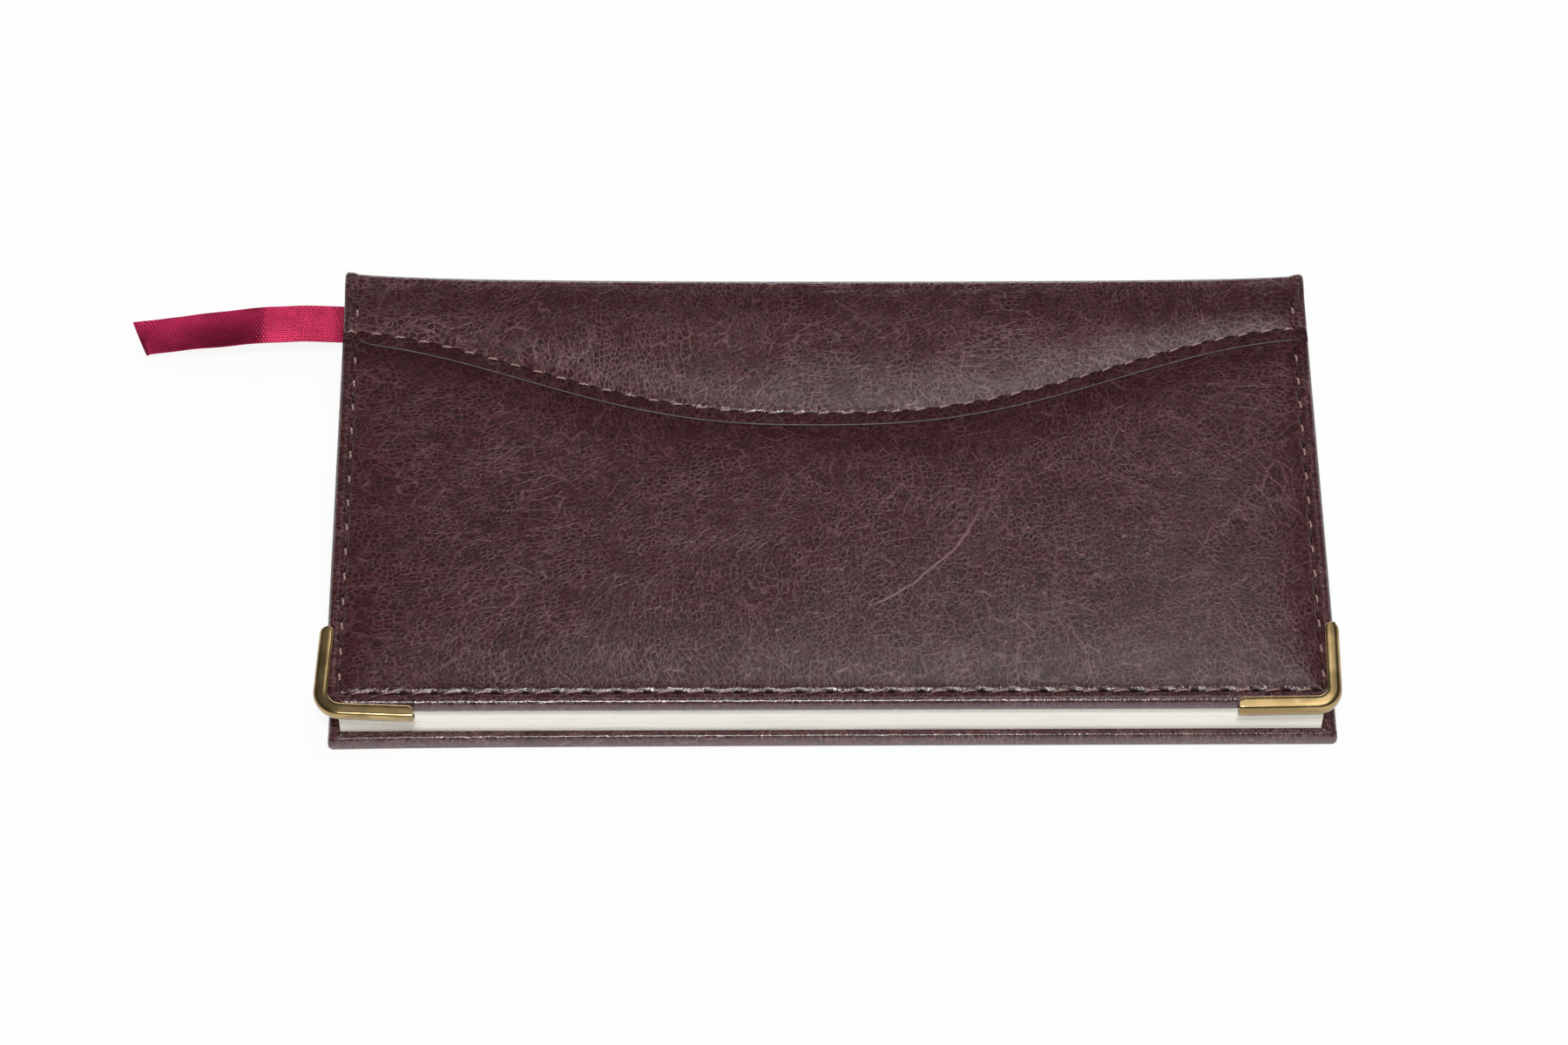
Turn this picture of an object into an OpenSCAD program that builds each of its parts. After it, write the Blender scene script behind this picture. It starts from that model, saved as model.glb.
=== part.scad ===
// Slim pocket diary: two padded leatherette covers on a flat spine, sewn paper
// sections between them, two brass corners and a satin ribbon marker.
// It lies closed on its back cover. X runs along the spine, Y from the fore-edge
// to the spine, Z up. The origin is under the middle of the closed diary.

/* [Covers] */
// Length of the covers, along the spine
cover_length = 160; // [130:1:200]
// Depth of the closed diary, from the fore-edge to the back of the spine
cover_depth = 85; // [70:1:120]
// Thickness of the grey board in each cover
board = 1.2; // [0.8:0.1:2.4]
// Thickness of the foam between board and leatherette
padding = 0.3; // [0.2:0.1:0.6]
// Thickness of the leatherette of the yoke, the spine and the back
main_leather = 0.9; // [0.8:0.1:1.4]
// Height of the yoke's face above the lower front panel
yoke_rise = 0.35; // [0.3:0.05:0.5]
// Thickness of the turned-in leatherette and of the pastedown beside it
turn_in = 0.3; // [0.2:0.1:0.5]
// Width of the turned-in margin inside each cover
turn_in_width = 11; // [8:1:16]
// Thickness of the leatherette round the edges of a board
edge_wall = 0.6; // [0.5:0.1:1]
// Radius along the outer edges of a cover
edge_radius = 0.9; // [0.5:0.1:1]
// Plan radius of the front cover's two near corners
front_corner_radius = 3.4; // [2.8:0.1:4]
// Plan radius of the back cover's two near corners
back_corner_radius = 1; // [0.6:0.1:2]

/* [Spine] */
// Thickness of the card strip that stiffens the spine
spine_card = 0.6; // [0.4:0.1:1]
// Distance from the back of the spine to the boards
board_setback = 3; // [2.4:0.1:4]
// Distance from an outer cover face to the ends of the spine's leatherette
spine_clear = 1.25; // [1.2:0.05:1.6]
// Shortening of the card at the head, at the tail and at each long edge
card_inset = 0.15; // [0.1:0.05:0.5]

/* [Pages] */
// Thickness of one sewn section
section = 0.86; // [0.6:0.02:1.4]
// Radius of a section's sewn fold
fold_radius = 0.3; // [0.1:0.05:0.4]
// Thickness of one endpaper leaf
endpaper = 0.15; // [0.12:0.01:0.3]
// Thickness of the single leaf at the opening
single_leaf = 0.12; // [0.1:0.01:0.2]
// Clearance between paper pieces
paper_gap = 0.02; // [0.01:0.01:0.04]
// Clearance between the outer leaves and the covers
cover_gap = 0.05; // [0.03:0.01:0.1]
// Overhang of the covers past the pages at the fore-edge
fore_square = 1.35; // [1.2:0.05:3]
// Overhang of the covers past the pages at the head and at the tail
end_square = 2; // [1.5:0.1:4]
// Thickness of the cloth lining on the backs of the sections
lining = 0.2; // [0.1:0.05:0.3]
// Clearance between the lining and the spine card, and about the page hinge
hinge_gap = 0.15; // [0.1:0.05:0.3]

/* [Yoke] */
// Lowest point of the sewn arc, from the fore-edge
arc_low = 56.5; // [45:0.5:62]
// Rise of the arc towards its ends
arc_rise = 17.4; // [8:0.2:18]
// Half length of the arc
arc_span = 84; // [80:1:110]
// Offset of the arc's lowest point from the middle
arc_offset = -1; // [-5:0.5:5]
// Lap of the yoke past its seam, to its cut edge
lap = 2.6; // [2:0.1:3.5]
// Tongue of the lower panel past the seam, under the yoke
tongue = 4; // [3:0.5:6]

/* [Stitching] */
// Distance of the edge seams from the edges
seam_inset = 2.3; // [2.2:0.1:3]
// Pitch of the edge stitches
edge_pitch = 4.8; // [4.4:0.1:6]
// Pitch of the arc's stitches
arc_pitch = 4; // [3.6:0.1:5]
// Length of one stitch
stitch_length = 3.1; // [2.4:0.1:3.4]
// Width of the thread
thread_width = 0.55; // [0.4:0.05:0.6]
// Depth of the groove that the stitches lie in
groove_depth = 0.18; // [0.1:0.02:0.2]
// Width of the groove
groove_width = 1.2; // [1.15:0.05:1.4]
// Slant of each stitch to its seam, in degrees
stitch_slant = 9; // [0:1:9]

/* [Brass corners] */
// Length of each arm, from the cover's corner
corner_arm = 15.4; // [10:0.2:22]
// Sheet thickness of the wall and of the lower lip
corner_sheet = 0.4; // [0.3:0.05:0.45]
// Reach of the upper lip over the cover
upper_lip = 1.5; // [1.2:0.1:1.6]
// Reach of the lower lip under the cover
lower_lip = 0.9; // [0.6:0.1:1]
// How far the corner at the tail stands out from the cover's edge
tail_proud = 1.2; // [0.8:0.1:1.4]
// How far the corner at the head stands out from the cover's edge
head_proud = 0.5; // [0.5:0.05:0.7]
// Inner plan radius of the upper lip
lip_radius = 1.8; // [1:0.1:2.5]

/* [Ribbon] */
// Width of the satin ribbon
ribbon_width = 7.4; // [5:0.1:8]
// Thickness of the ribbon
ribbon_thick = 0.24; // [0.2:0.02:0.3]
// Slant of the ribbon's cut end: how much longer its far edge is
ribbon_slant = 2.4; // [0:0.1:4]
// Room round the ribbon in the page that it lies on
ribbon_room = 0.12; // [0.08:0.01:0.2]
// Distance of the ribbon from the sections' folds
ribbon_gutter = 0.2; // [0.1:0.1:2]
// Distance of the ribbon's sewn end from the head of the pages
ribbon_sewn = 2.35; // [1:0.05:6]
// Distance past the tail of the pages at which the ribbon starts to bend down
ribbon_clear = 0.35; // [0.3:0.05:2]

/* [Hidden] */

// Counts of sections under and over the opening
lower_sections = 5;
upper_sections = 3;
// Steps in the curves that are drawn as short flats
arc_steps = 48;
round_steps = 5;
// Amount by which a cut runs past the faces that it opens
over = 1;
// Power that flattens the middle and the ends of the sewn arc
arc_power = 2.6;
// Reach of the outer leatherette to just short of the back of the spine
fold_edge = 0.05;
// Stretch over which the arc's slope is taken
slope_step = 1;

// Widest stand-off of the brass corners, which sets the middle in Y
proud = max(tail_proud, head_proud);
mid_x = (tail_proud - head_proud) / 2;
fore_y = proud - (cover_depth + proud) / 2;
spine_y = fore_y + cover_depth;
tail_x = mid_x - cover_length / 2;
head_x = mid_x + cover_length / 2;

// Heights, from the table up
filling = padding + board;
cover_thick = turn_in + filling + main_leather;
section_step = section + paper_gap;
back_fly_z = cover_thick + cover_gap;
lower_z = back_fly_z + endpaper + paper_gap;
opening_z = lower_z + lower_sections * section_step;
upper_z = opening_z + single_leaf + paper_gap;
front_fly_z = upper_z + upper_sections * section_step;
front_z = front_fly_z + endpaper + cover_gap;
height = front_z + cover_thick;
panel_z = height - yoke_rise;

// Depths, from the spine inwards
card_y = spine_y - main_leather - spine_card;
hinge_y = card_y - hinge_gap;
lining_y = hinge_y - hinge_gap;
paper_y = lining_y - lining;
board_y = spine_y - board_setback;
page_fore_y = fore_y + fore_square;
page_tail_x = tail_x + end_square;
page_head_x = head_x - end_square;

// Route of the ribbon's middle line: from its sewn end at the head, through the opening
// to the point where it leaves the tail, then down to the table. Each point outside says
// how far it is out from there, how far over, and its share of the way down.
ribbon_steps = 14;
ribbon_y = paper_y - ribbon_gutter - ribbon_width / 2;
ribbon_z = opening_z - paper_gap - ribbon_thick / 2;
ribbon_start = [page_head_x - ribbon_sewn, ribbon_y, ribbon_z];
ribbon_leave = [page_tail_x - ribbon_clear, ribbon_y, ribbon_z];
ribbon_drop = ribbon_z - 1.5 * ribbon_thick;
ribbon_in = [for (i = [0 : ribbon_steps]) ribbon_start + (ribbon_leave - ribbon_start) * i / ribbon_steps];
ribbon_out = [
    for (p = [
        [4, 0.2, 0], [8, 0.5, 0.01], [12, 0.7, 0.04], [16, 0.9, 0.11], [20, 1.1, 0.22],
        [24, 1.3, 0.36], [28, 1.6, 0.55], [32, 2, 0.79], [35, 2.4, 0.95], [36.9, 2.7, 1]
    ])
        ribbon_leave + [-p.x, p.y, -p.z * ribbon_drop]
];
ribbon_path = concat(ribbon_in, ribbon_out);

leather_colour = [0.31, 0.19, 0.20];
yoke_colour = [0.36, 0.25, 0.25];
thread_colour = [0.62, 0.45, 0.42];
brass_colour = [0.83, 0.66, 0.33];
paper_colour = [0.95, 0.93, 0.87];
card_colour = [0.62, 0.58, 0.52];
foam_colour = [0.85, 0.84, 0.80];
cloth_colour = [0.90, 0.88, 0.82];
ribbon_colour = [0.72, 0.08, 0.16];

// Height of the sewn arc's line in plan, and its slope
function arc_y(x) =
    fore_y + arc_low
    + arc_rise * pow(sin(90 * min(abs(x - mid_x - arc_offset) / arc_span, 1)), arc_power);
function arc_slope(x) = (arc_y(x + slope_step / 2) - arc_y(x - slope_step / 2)) / slope_step;
function arc_stretch(x) = sqrt(1 + arc_slope(x) * arc_slope(x));

// The arc's line moved sideways, from past the tail edge to past the head edge
function arc_line(shift) = [
    for (i = [0 : arc_steps])
        let (x = tail_x - over + i * (cover_length + 2 * over) / arc_steps)
        [x, arc_y(x) + shift * arc_stretch(x)]
];
function reversed(list) = [for (i = [len(list) - 1 : -1 : 0]) list[i]];

// Places along the arc at an even pitch
function arc_walk(x, end, out = []) =
    x > end ? out : arc_walk(x + arc_pitch / arc_stretch(x), end, concat(out, [x]));

// Part of a circle, as points
function round_points(centre, radius, from, to, steps = round_steps) = [
    for (i = [0 : steps])
        let (angle = from + (to - from) * i / steps)
        centre + radius * [cos(angle), sin(angle)]
];

// A box between two corners
module box(low, high) {
    translate(low) cube(high - low);
}

// Plan of a cover, or of a layer set in from its edges. The near corners are rounded
// about the same centres, as far as the inset leaves a radius.
function cover_plan(inset, corner_radius, far_y) =
    let (
        low = [tail_x + inset, fore_y + inset],
        high_x = head_x - inset,
        r = corner_radius - inset
    )
    concat(
        r <= 0 ? [low, [high_x, low.y]] : concat(
            round_points(low + [r, r], r, 180, 270),
            round_points([high_x - r, low.y + r], r, 270, 360)
        ),
        [[high_x, far_y], [low.x, far_y]]
    );

// A cover's outer form: rounded corners in plan, and soft edges on three sides
module cover_form(bottom_z, top_z, corner_radius) {
    far_y = spine_y - fold_edge;
    r = min(edge_radius, (top_z - bottom_z) / 2);
    side = concat(
        round_points([fore_y + r, bottom_z + r], r, 270, 180),
        round_points([fore_y + r, top_z - r], r, 180, 90),
        [[far_y, top_z], [far_y, bottom_z]]
    );
    end = concat(
        round_points([tail_x + r, bottom_z + r], r, 270, 180),
        round_points([tail_x + r, top_z - r], r, 180, 90),
        round_points([head_x - r, top_z - r], r, 90, 0),
        round_points([head_x - r, bottom_z + r], r, 0, -90)
    );
    intersection() {
        translate([0, 0, bottom_z - over])
            linear_extrude(top_z - bottom_z + 2 * over)
            polygon(cover_plan(0, corner_radius, far_y));
        translate([tail_x - over, 0, 0])
            rotate([90, 0, 90])
            linear_extrude(cover_length + 2 * over)
            polygon(side);
        translate([0, spine_y + over, 0])
            rotate([90, 0, 0])
            linear_extrude(cover_depth + 2 * over)
            polygon(end);
    }
}

// What a cover's leatherette wraps: the board and foam, and the pastedown's window.
// inner_z is the inside face, and way is +1 where the outside is above it.
module cover_hollow(inner_z, way, corner_radius) {
    board_z = inner_z + way * turn_in;
    foam_z = board_z + way * filling;
    low_z = min(board_z, foam_z);
    high_z = max(board_z, foam_z);
    translate([0, 0, low_z])
        linear_extrude(high_z - low_z)
        polygon(cover_plan(edge_wall, corner_radius, spine_y + over));
    open_z = inner_z - way * over;
    box([tail_x + turn_in_width, fore_y + turn_in_width, min(open_z, foam_z)],
        [head_x - turn_in_width, spine_y + over, max(open_z, foam_z)]);
    box([tail_x - over, board_y, min(open_z, foam_z)],
        [head_x + over, spine_y + over, max(open_z, foam_z)]);
}

// One layer inside a cover, from the near wall to the spine edge of the board
module cover_layer(inset, z, thick, corner_radius) {
    translate([0, 0, z])
        linear_extrude(thick)
        polygon(cover_plan(inset, corner_radius, board_y));
}

// One slanted stitch on a groove's floor
module stitch(place, z, angle) {
    translate([place.x, place.y, z])
        rotate(angle + stitch_slant)
        translate([-stitch_length / 2, -thread_width / 2, 0])
        cube([stitch_length, thread_width, groove_depth]);
}

// Places of the edge seams' stitches: the near edge and one side
near_count = floor((cover_length - 2 * seam_inset - stitch_length) / edge_pitch);
side_count = floor((cover_depth - 2 * seam_inset - board_setback - stitch_length) / edge_pitch);
near_start = mid_x - near_count * edge_pitch / 2;
side_start = fore_y + seam_inset + stitch_length;

// The grooves of the near seam and of both side seams
module edge_grooves(z) {
    near_y = fore_y + seam_inset;
    half = groove_width / 2;
    box([tail_x + seam_inset - half, near_y - half, z],
        [head_x - seam_inset + half, near_y + half, z + groove_depth + over]);
    for (x = [tail_x + seam_inset, head_x - seam_inset])
        box([x - half, near_y - half, z], [x + half, board_y, z + groove_depth + over]);
}

// Edge stitches on a face. Where the face steps up at the yoke's cut edge, the side
// stitches do too, and none lies across the step.
module edge_stitches(low_z, high_z, stepped) {
    for (i = [0 : near_count])
        stitch([near_start + i * edge_pitch, fore_y + seam_inset], low_z, 0);
    for (x = [tail_x + seam_inset, head_x - seam_inset])
        for (i = [0 : side_count]) {
            y = side_start + i * edge_pitch;
            step_y = stepped ? arc_y(x) - lap * arc_stretch(x) : spine_y;
            clear = stitch_length / 2 + thread_width;
            if (y + clear < step_y)
                stitch([x, y], low_z, 90);
            else if (y - clear > step_y)
                stitch([x, y], high_z, 90);
        }
}

// The groove under the arc's stitches
module arc_groove(z) {
    translate([0, 0, z])
        linear_extrude(groove_depth + over)
        polygon(concat(arc_line(-groove_width / 2), reversed(arc_line(groove_width / 2))));
}

// Plan of the lower front panel, up to the end of its tongue under the yoke
module panel_plan() {
    polygon(concat(
        [[head_x + over, fore_y - over], [tail_x - over, fore_y - over]],
        arc_line(tongue)
    ));
}

// Plan of the yoke, from its cut edge to the spine
module yoke_plan() {
    polygon(concat(
        [[head_x + over, spine_y + over], [tail_x - over, spine_y + over]],
        arc_line(-lap)
    ));
}

// The front cover's leatherette as one tray, with its outside at top_z
module front_tray(top_z) {
    difference() {
        cover_form(front_z, top_z, front_corner_radius);
        cover_hollow(front_z, 1, front_corner_radius);
    }
}

// A block of paper with its spine end rounded, from z up
module paper_block(z, thick, spine_end) {
    r = min(fold_radius, thick / 2);
    profile = concat(
        [[page_fore_y, z + thick], [page_fore_y, z]],
        round_points([spine_end - r, z + r], r, 270, 360),
        round_points([spine_end - r, z + thick - r], r, 0, 90)
    );
    translate([page_tail_x, 0, 0])
        rotate([90, 0, 90])
        linear_extrude(page_head_x - page_tail_x)
        polygon(profile);
}

// A sewn section, counted from the top of its half
module lower_section(index) {
    color(paper_colour)
        paper_block(lower_z + (lower_sections - index) * section_step, section, paper_y);
}

module upper_section(index) {
    color(paper_colour)
        paper_block(upper_z + (upper_sections - index) * section_step, section, paper_y);
}

// Cloth on the backs of the sections between two heights
module back_lining(low_z, high_z) {
    color(cloth_colour)
        box([page_tail_x + end_square, paper_y, low_z], [page_head_x - end_square, lining_y, high_z]);
}

// Plan of a brass corner about the cover's corner, which is the local origin
function angle_plan(out, lip, radius, inner_radius) = concat(
    round_points([radius - out, radius - out], radius, 180, 270),
    [[corner_arm, -out], [corner_arm, lip]],
    round_points([lip + inner_radius, lip + inner_radius], inner_radius, 270, 180),
    [[lip, corner_arm], [-out, corner_arm]]
);

// A folded brass angle round a corner of the front cover
module brass_corner(stand) {
    gap = stand - corner_sheet;
    low_z = front_z - corner_sheet;
    difference() {
        translate([0, 0, low_z])
            linear_extrude(height - low_z)
            polygon(angle_plan(stand, upper_lip, front_corner_radius + stand, lip_radius));
        translate([0, 0, front_z])
            linear_extrude(panel_z - front_z)
            polygon(concat(
                round_points([front_corner_radius, front_corner_radius],
                             front_corner_radius + gap, 180, 270),
                [[corner_arm + over, -gap], [corner_arm + over, corner_arm + over],
                 [-gap, corner_arm + over]]
            ));
        translate([0, 0, low_z - over])
            linear_extrude(over + corner_sheet)
            polygon(concat(
                round_points([lower_lip + lip_radius, lower_lip + lip_radius], lip_radius, 180, 270),
                [[corner_arm + over, lower_lip], [corner_arm + over, corner_arm + over],
                 [lower_lip, corner_arm + over]]
            ));
    }
}

// Cross-section of the ribbon: flat, with its two edges eased
function ribbon_ring(centre, along, slant) =
    let (
        side = ribbon_width / 2,
        half = ribbon_thick / 2,
        ease = half / 2,
        flat = norm([along.x, along.y]),
        left = [-along.y, along.x, 0] / flat,
        up = cross(along, left)
    )
    [for (p = [[side, -ease], [side, ease], [side - ease, half], [ease - side, half],
               [-side, ease], [-side, -ease], [ease - side, -half], [side - ease, -half]])
        centre + p.x * left + p.y * up + along * slant * -p.x / ribbon_width];

// A closed tube through rings of equal size
module skin(rings) {
    n = len(rings[0]);
    last = len(rings) - 1;
    points = [for (ring = rings) each ring];
    walls = [for (i = [0 : last - 1]) for (j = [0 : n - 1])
        let (a = i * n + j, b = i * n + (j + 1) % n)
        each [[a, b, a + n], [b, b + n, a + n]]];
    caps = [for (j = [1 : n - 2]) each [[0, j + 1, j], [last * n, last * n + j, last * n + j + 1]]];
    polyhedron(points, concat(walls, caps));
}

// Back cover

module back_board() {
    color(card_colour) cover_layer(edge_wall, main_leather + padding, board, back_corner_radius);
}

module back_padding() {
    color(foam_colour) cover_layer(edge_wall, main_leather, padding, back_corner_radius);
}

module back_panel() {
    color(yoke_colour)
        difference() {
            cover_form(0, cover_thick, back_corner_radius);
            cover_hollow(cover_thick, -1, back_corner_radius);
            mirror([0, 0, 1]) edge_grooves(-groove_depth);
        }
}

module back_stitching() {
    color(thread_colour) edge_stitches(0, 0, false);
}

module back_pastedown() {
    color(paper_colour)
        cover_layer(turn_in_width, cover_thick - turn_in, turn_in, back_corner_radius);
}

// Pages that stay on the back cover

module back_flyleaf() {
    color(paper_colour) paper_block(back_fly_z, endpaper, paper_y);
}

module section_8() { lower_section(5); }
module section_7() { lower_section(4); }
module section_6() { lower_section(3); }
module section_5() { lower_section(2); }

// The top lower section has the ribbon's bed pressed into it
module section_4() {
    side = ribbon_width / 2 + ribbon_room;
    bed = ribbon_thick + paper_gap + ribbon_room;
    difference() {
        lower_section(1);
        box([page_tail_x - over, ribbon_y - side, opening_z - paper_gap - bed],
            [page_head_x + over, paper_y + over, opening_z + over]);
    }
}

module lower_lining() {
    back_lining(lower_z, opening_z - paper_gap);
}

module ribbon_marker() {
    last = len(ribbon_path) - 1;
    color(ribbon_colour)
        skin([for (i = [0 : last])
            let (
                step = ribbon_path[min(i + 1, last)] - ribbon_path[max(i - 1, 0)],
                slant = i == last ? ribbon_slant : 0
            )
            ribbon_ring(ribbon_path[i], step / norm(step), slant)]);
}

// Spine

module spine_card_strip() {
    color(card_colour)
        box([tail_x + card_inset, card_y, spine_clear + card_inset],
            [head_x - card_inset, card_y + spine_card, height - spine_clear - card_inset]);
}

module spine_cover() {
    color(yoke_colour)
        box([tail_x, card_y + spine_card, spine_clear], [head_x, spine_y, height - spine_clear]);
}

// Pages that turn with the front cover

module opening_leaf() {
    color(paper_colour) paper_block(opening_z, single_leaf, paper_y);
}

module section_3() { upper_section(3); }
module section_2() { upper_section(2); }
module section_1() { upper_section(1); }

module front_flyleaf() {
    color(paper_colour) paper_block(front_fly_z, endpaper, paper_y);
}

module upper_lining() {
    back_lining(upper_z, front_fly_z - paper_gap);
}

// Front cover

module front_board() {
    color(card_colour) cover_layer(edge_wall, front_z + turn_in, board, front_corner_radius);
}

module front_padding() {
    color(foam_colour)
        cover_layer(edge_wall, front_z + turn_in + board, padding, front_corner_radius);
}

module front_panel() {
    color(leather_colour)
        difference() {
            intersection() {
                front_tray(panel_z);
                translate([0, 0, front_z - over]) linear_extrude(cover_thick + 2 * over) panel_plan();
            }
            edge_grooves(panel_z - groove_depth);
        }
}

module yoke_panel() {
    color(yoke_colour)
        difference() {
            intersection() {
                front_tray(height);
                translate([0, 0, front_z - over]) linear_extrude(cover_thick + 2 * over) yoke_plan();
            }
            translate([0, 0, front_z - over]) linear_extrude(panel_z - front_z + over) panel_plan();
            edge_grooves(height - groove_depth);
            arc_groove(height - groove_depth);
        }
}

module front_stitching() {
    color(thread_colour)
        edge_stitches(panel_z - groove_depth, height - groove_depth, true);
}

module yoke_stitching() {
    color(thread_colour)
        for (x = arc_walk(tail_x + seam_inset + arc_pitch, head_x - seam_inset - arc_pitch))
            stitch([x, arc_y(x)], height - groove_depth, atan(arc_slope(x)));
}

module front_pastedown() {
    color(paper_colour) cover_layer(turn_in_width, front_z, turn_in, front_corner_radius);
}

module corner_tail() {
    color(brass_colour) translate([tail_x, fore_y, 0]) brass_corner(tail_proud);
}

module corner_head() {
    color(brass_colour)
        translate([head_x, fore_y, 0]) mirror([1, 0, 0]) brass_corner(head_proud);
}

back_board();
back_padding();
back_panel();
back_stitching();
back_pastedown();
back_flyleaf();
section_8();
section_7();
section_6();
section_5();
section_4();
lower_lining();
ribbon_marker();
spine_card_strip();
spine_cover();
opening_leaf();
section_3();
section_2();
section_1();
front_flyleaf();
upper_lining();
front_board();
front_padding();
front_panel();
yoke_panel();
front_stitching();
yoke_stitching();
front_pastedown();
corner_tail();
corner_head();
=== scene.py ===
"""Looks of the slim pocket diary: padded leatherette covers, sewn yoke, brass corners,
paper sections and a satin ribbon marker. Lengths are in millimetres until a mesh is made."""
import math
import random

import bmesh
import bpy
import numpy as np
from mathutils import Matrix, Vector


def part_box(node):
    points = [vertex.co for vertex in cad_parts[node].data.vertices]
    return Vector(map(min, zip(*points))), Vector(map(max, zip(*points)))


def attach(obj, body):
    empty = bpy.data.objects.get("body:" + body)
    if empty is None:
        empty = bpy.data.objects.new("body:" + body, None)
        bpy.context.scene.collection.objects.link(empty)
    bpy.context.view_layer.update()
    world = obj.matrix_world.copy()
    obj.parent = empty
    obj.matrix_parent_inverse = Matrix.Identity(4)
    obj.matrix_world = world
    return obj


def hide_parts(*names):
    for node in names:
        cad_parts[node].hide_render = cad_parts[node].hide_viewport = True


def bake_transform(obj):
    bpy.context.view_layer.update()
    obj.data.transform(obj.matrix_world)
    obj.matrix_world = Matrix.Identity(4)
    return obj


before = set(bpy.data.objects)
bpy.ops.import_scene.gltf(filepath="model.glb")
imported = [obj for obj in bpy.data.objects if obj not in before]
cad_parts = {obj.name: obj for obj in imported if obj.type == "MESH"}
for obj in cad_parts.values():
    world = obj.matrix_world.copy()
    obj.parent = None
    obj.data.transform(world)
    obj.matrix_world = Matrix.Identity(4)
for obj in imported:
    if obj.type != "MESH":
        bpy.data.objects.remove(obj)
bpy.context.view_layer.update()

MM = 0.001


# Sizes read from the frame


def low(node):
    """Lowest corner of a CAD node, in millimetres."""
    return np.array(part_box(node)[0]) / MM


def high(node):
    """Highest corner of a CAD node, in millimetres."""
    return np.array(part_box(node)[1]) / MM


TAIL_X, FORE_Y, FRONT_Z = low("front_panel")
HEAD_X, _, PANEL_Z = high("front_panel")
SPINE_Y = high("spine_cover")[1]
HEIGHT = high("yoke_panel")[2]
BACK_TOP = high("back_panel")[2]
BOARD_Y = high("front_board")[1]
WINDOW_TAIL, WINDOW_FORE, _ = low("front_pastedown")
WINDOW_HEAD = high("front_pastedown")[0]
PAGE_TAIL, PAGE_FORE, _ = low("section_3")
PAGE_HEAD, PAPER_Y, _ = high("section_3")
OPENING_Z = low("opening_leaf")[2]
MID_X = (TAIL_X + HEAD_X) / 2

# Sizes and counts repeated from the part's source
MAIN_LEATHER = 0.9
COVER_EDGE = 0.9
FRONT_CORNER = 3.4
ARC_LOW = 56.5
ARC_RISE = 17.4
ARC_SPAN = 84.0
ARC_OFFSET = -1.0
ARC_POWER = 2.6
LAP = 2.6
TONGUE = 4.0
SEAM_INSET = 2.3
EDGE_PITCH = 4.8
ARC_PITCH = 4.0
NEAR_STITCHES = 32
SIDE_STITCHES = 16
STITCH_LENGTH = 3.1
CORNER_ARM = 15.4
LOWER_LIP = 0.9
CORNER_SHEET = 0.4
RIBBON_WIDTH = 7.4
RIBBON_THICK = 0.24
RIBBON_GUTTER = 0.2
RIBBON_ROOM = 0.12
RIBBON_SEWN = 2.35
RIBBON_CLEAR = 0.35
PAPER_GAP = 0.02
SECTION_FOLD = 0.3

# Narrowing of the strip below the arc's stitches, next to the tail seam
LAP_LOSS = 0.7
LAP_LOSS_REACH = 3.0

SEAM_NEAR = FORE_Y + SEAM_INSET
SEAM_TAIL = TAIL_X + SEAM_INSET
SEAM_HEAD = HEAD_X - SEAM_INSET
NEAR_START = MID_X - (NEAR_STITCHES - 1) * EDGE_PITCH / 2
SIDE_START = SEAM_NEAR + STITCH_LENGTH


# Small maths


def ease(start, end, value):
    """Smooth step from 0 at start to 1 at end."""
    t = np.clip((value - start) / (end - start), 0, 1)
    return t * t * (3 - 2 * t)


def hump(value, width):
    """Bell curve: 1 at 0, fading out over width."""
    return np.exp(-((value / width) ** 2))


def rise(value, reach):
    """Rise from 0 towards 1, most of it within reach."""
    return 1 - np.exp(-value / reach)


def round_rows(radius, step):
    """Distances from an edge that draw its rounding, one for each step in degrees."""
    return radius * (1 - np.cos(np.radians(np.arange(0, 91, step))))


def round_drop(distance, radius):
    """How far a rounded edge falls below its face, at a distance from the edge."""
    d = np.clip(distance, 0, radius)
    return radius - np.sqrt(np.maximum(radius**2 - (radius - d) ** 2, 0))


def swell(x, y):
    """Slow, uneven rise and fall of padded leatherette, from about -1 to 1."""
    return (
        0.5 * np.sin(0.21 * x + 1.3) * np.sin(0.27 * y + 0.4)
        + 0.3 * np.sin(0.11 * x + 0.33 * y + 2.1)
        + 0.2 * np.sin(0.37 * x - 0.18 * y + 0.7)
    )


def arc_y(x):
    """Place of the sewn arc's line in plan."""
    share = np.minimum(np.abs(x - MID_X - ARC_OFFSET) / ARC_SPAN, 1)
    return FORE_Y + ARC_LOW + ARC_RISE * np.sin(share * math.pi / 2) ** ARC_POWER


def arc_slope(x):
    return arc_y(x + 0.5) - arc_y(x - 0.5)


def arc_stretch(x):
    return np.sqrt(1 + arc_slope(x) ** 2)


def lap(x):
    """Width of the strip between the arc's stitches and the yoke's cut edge."""
    return LAP - LAP_LOSS * ease(LAP_LOSS_REACH, 0.0, x - SEAM_TAIL)


def yoke_edge(x):
    """Place of the yoke's cut edge in plan."""
    return arc_y(x) - lap(x) * arc_stretch(x)


def end_distance(x):
    """Distance to the nearer end of the covers."""
    return np.minimum(x - TAIL_X, HEAD_X - x)


# Mesh helpers


def add_object(name, data):
    """A new object in the scene."""
    made = bpy.data.objects.new(name, data)
    bpy.context.collection.objects.link(made)
    return made


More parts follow.
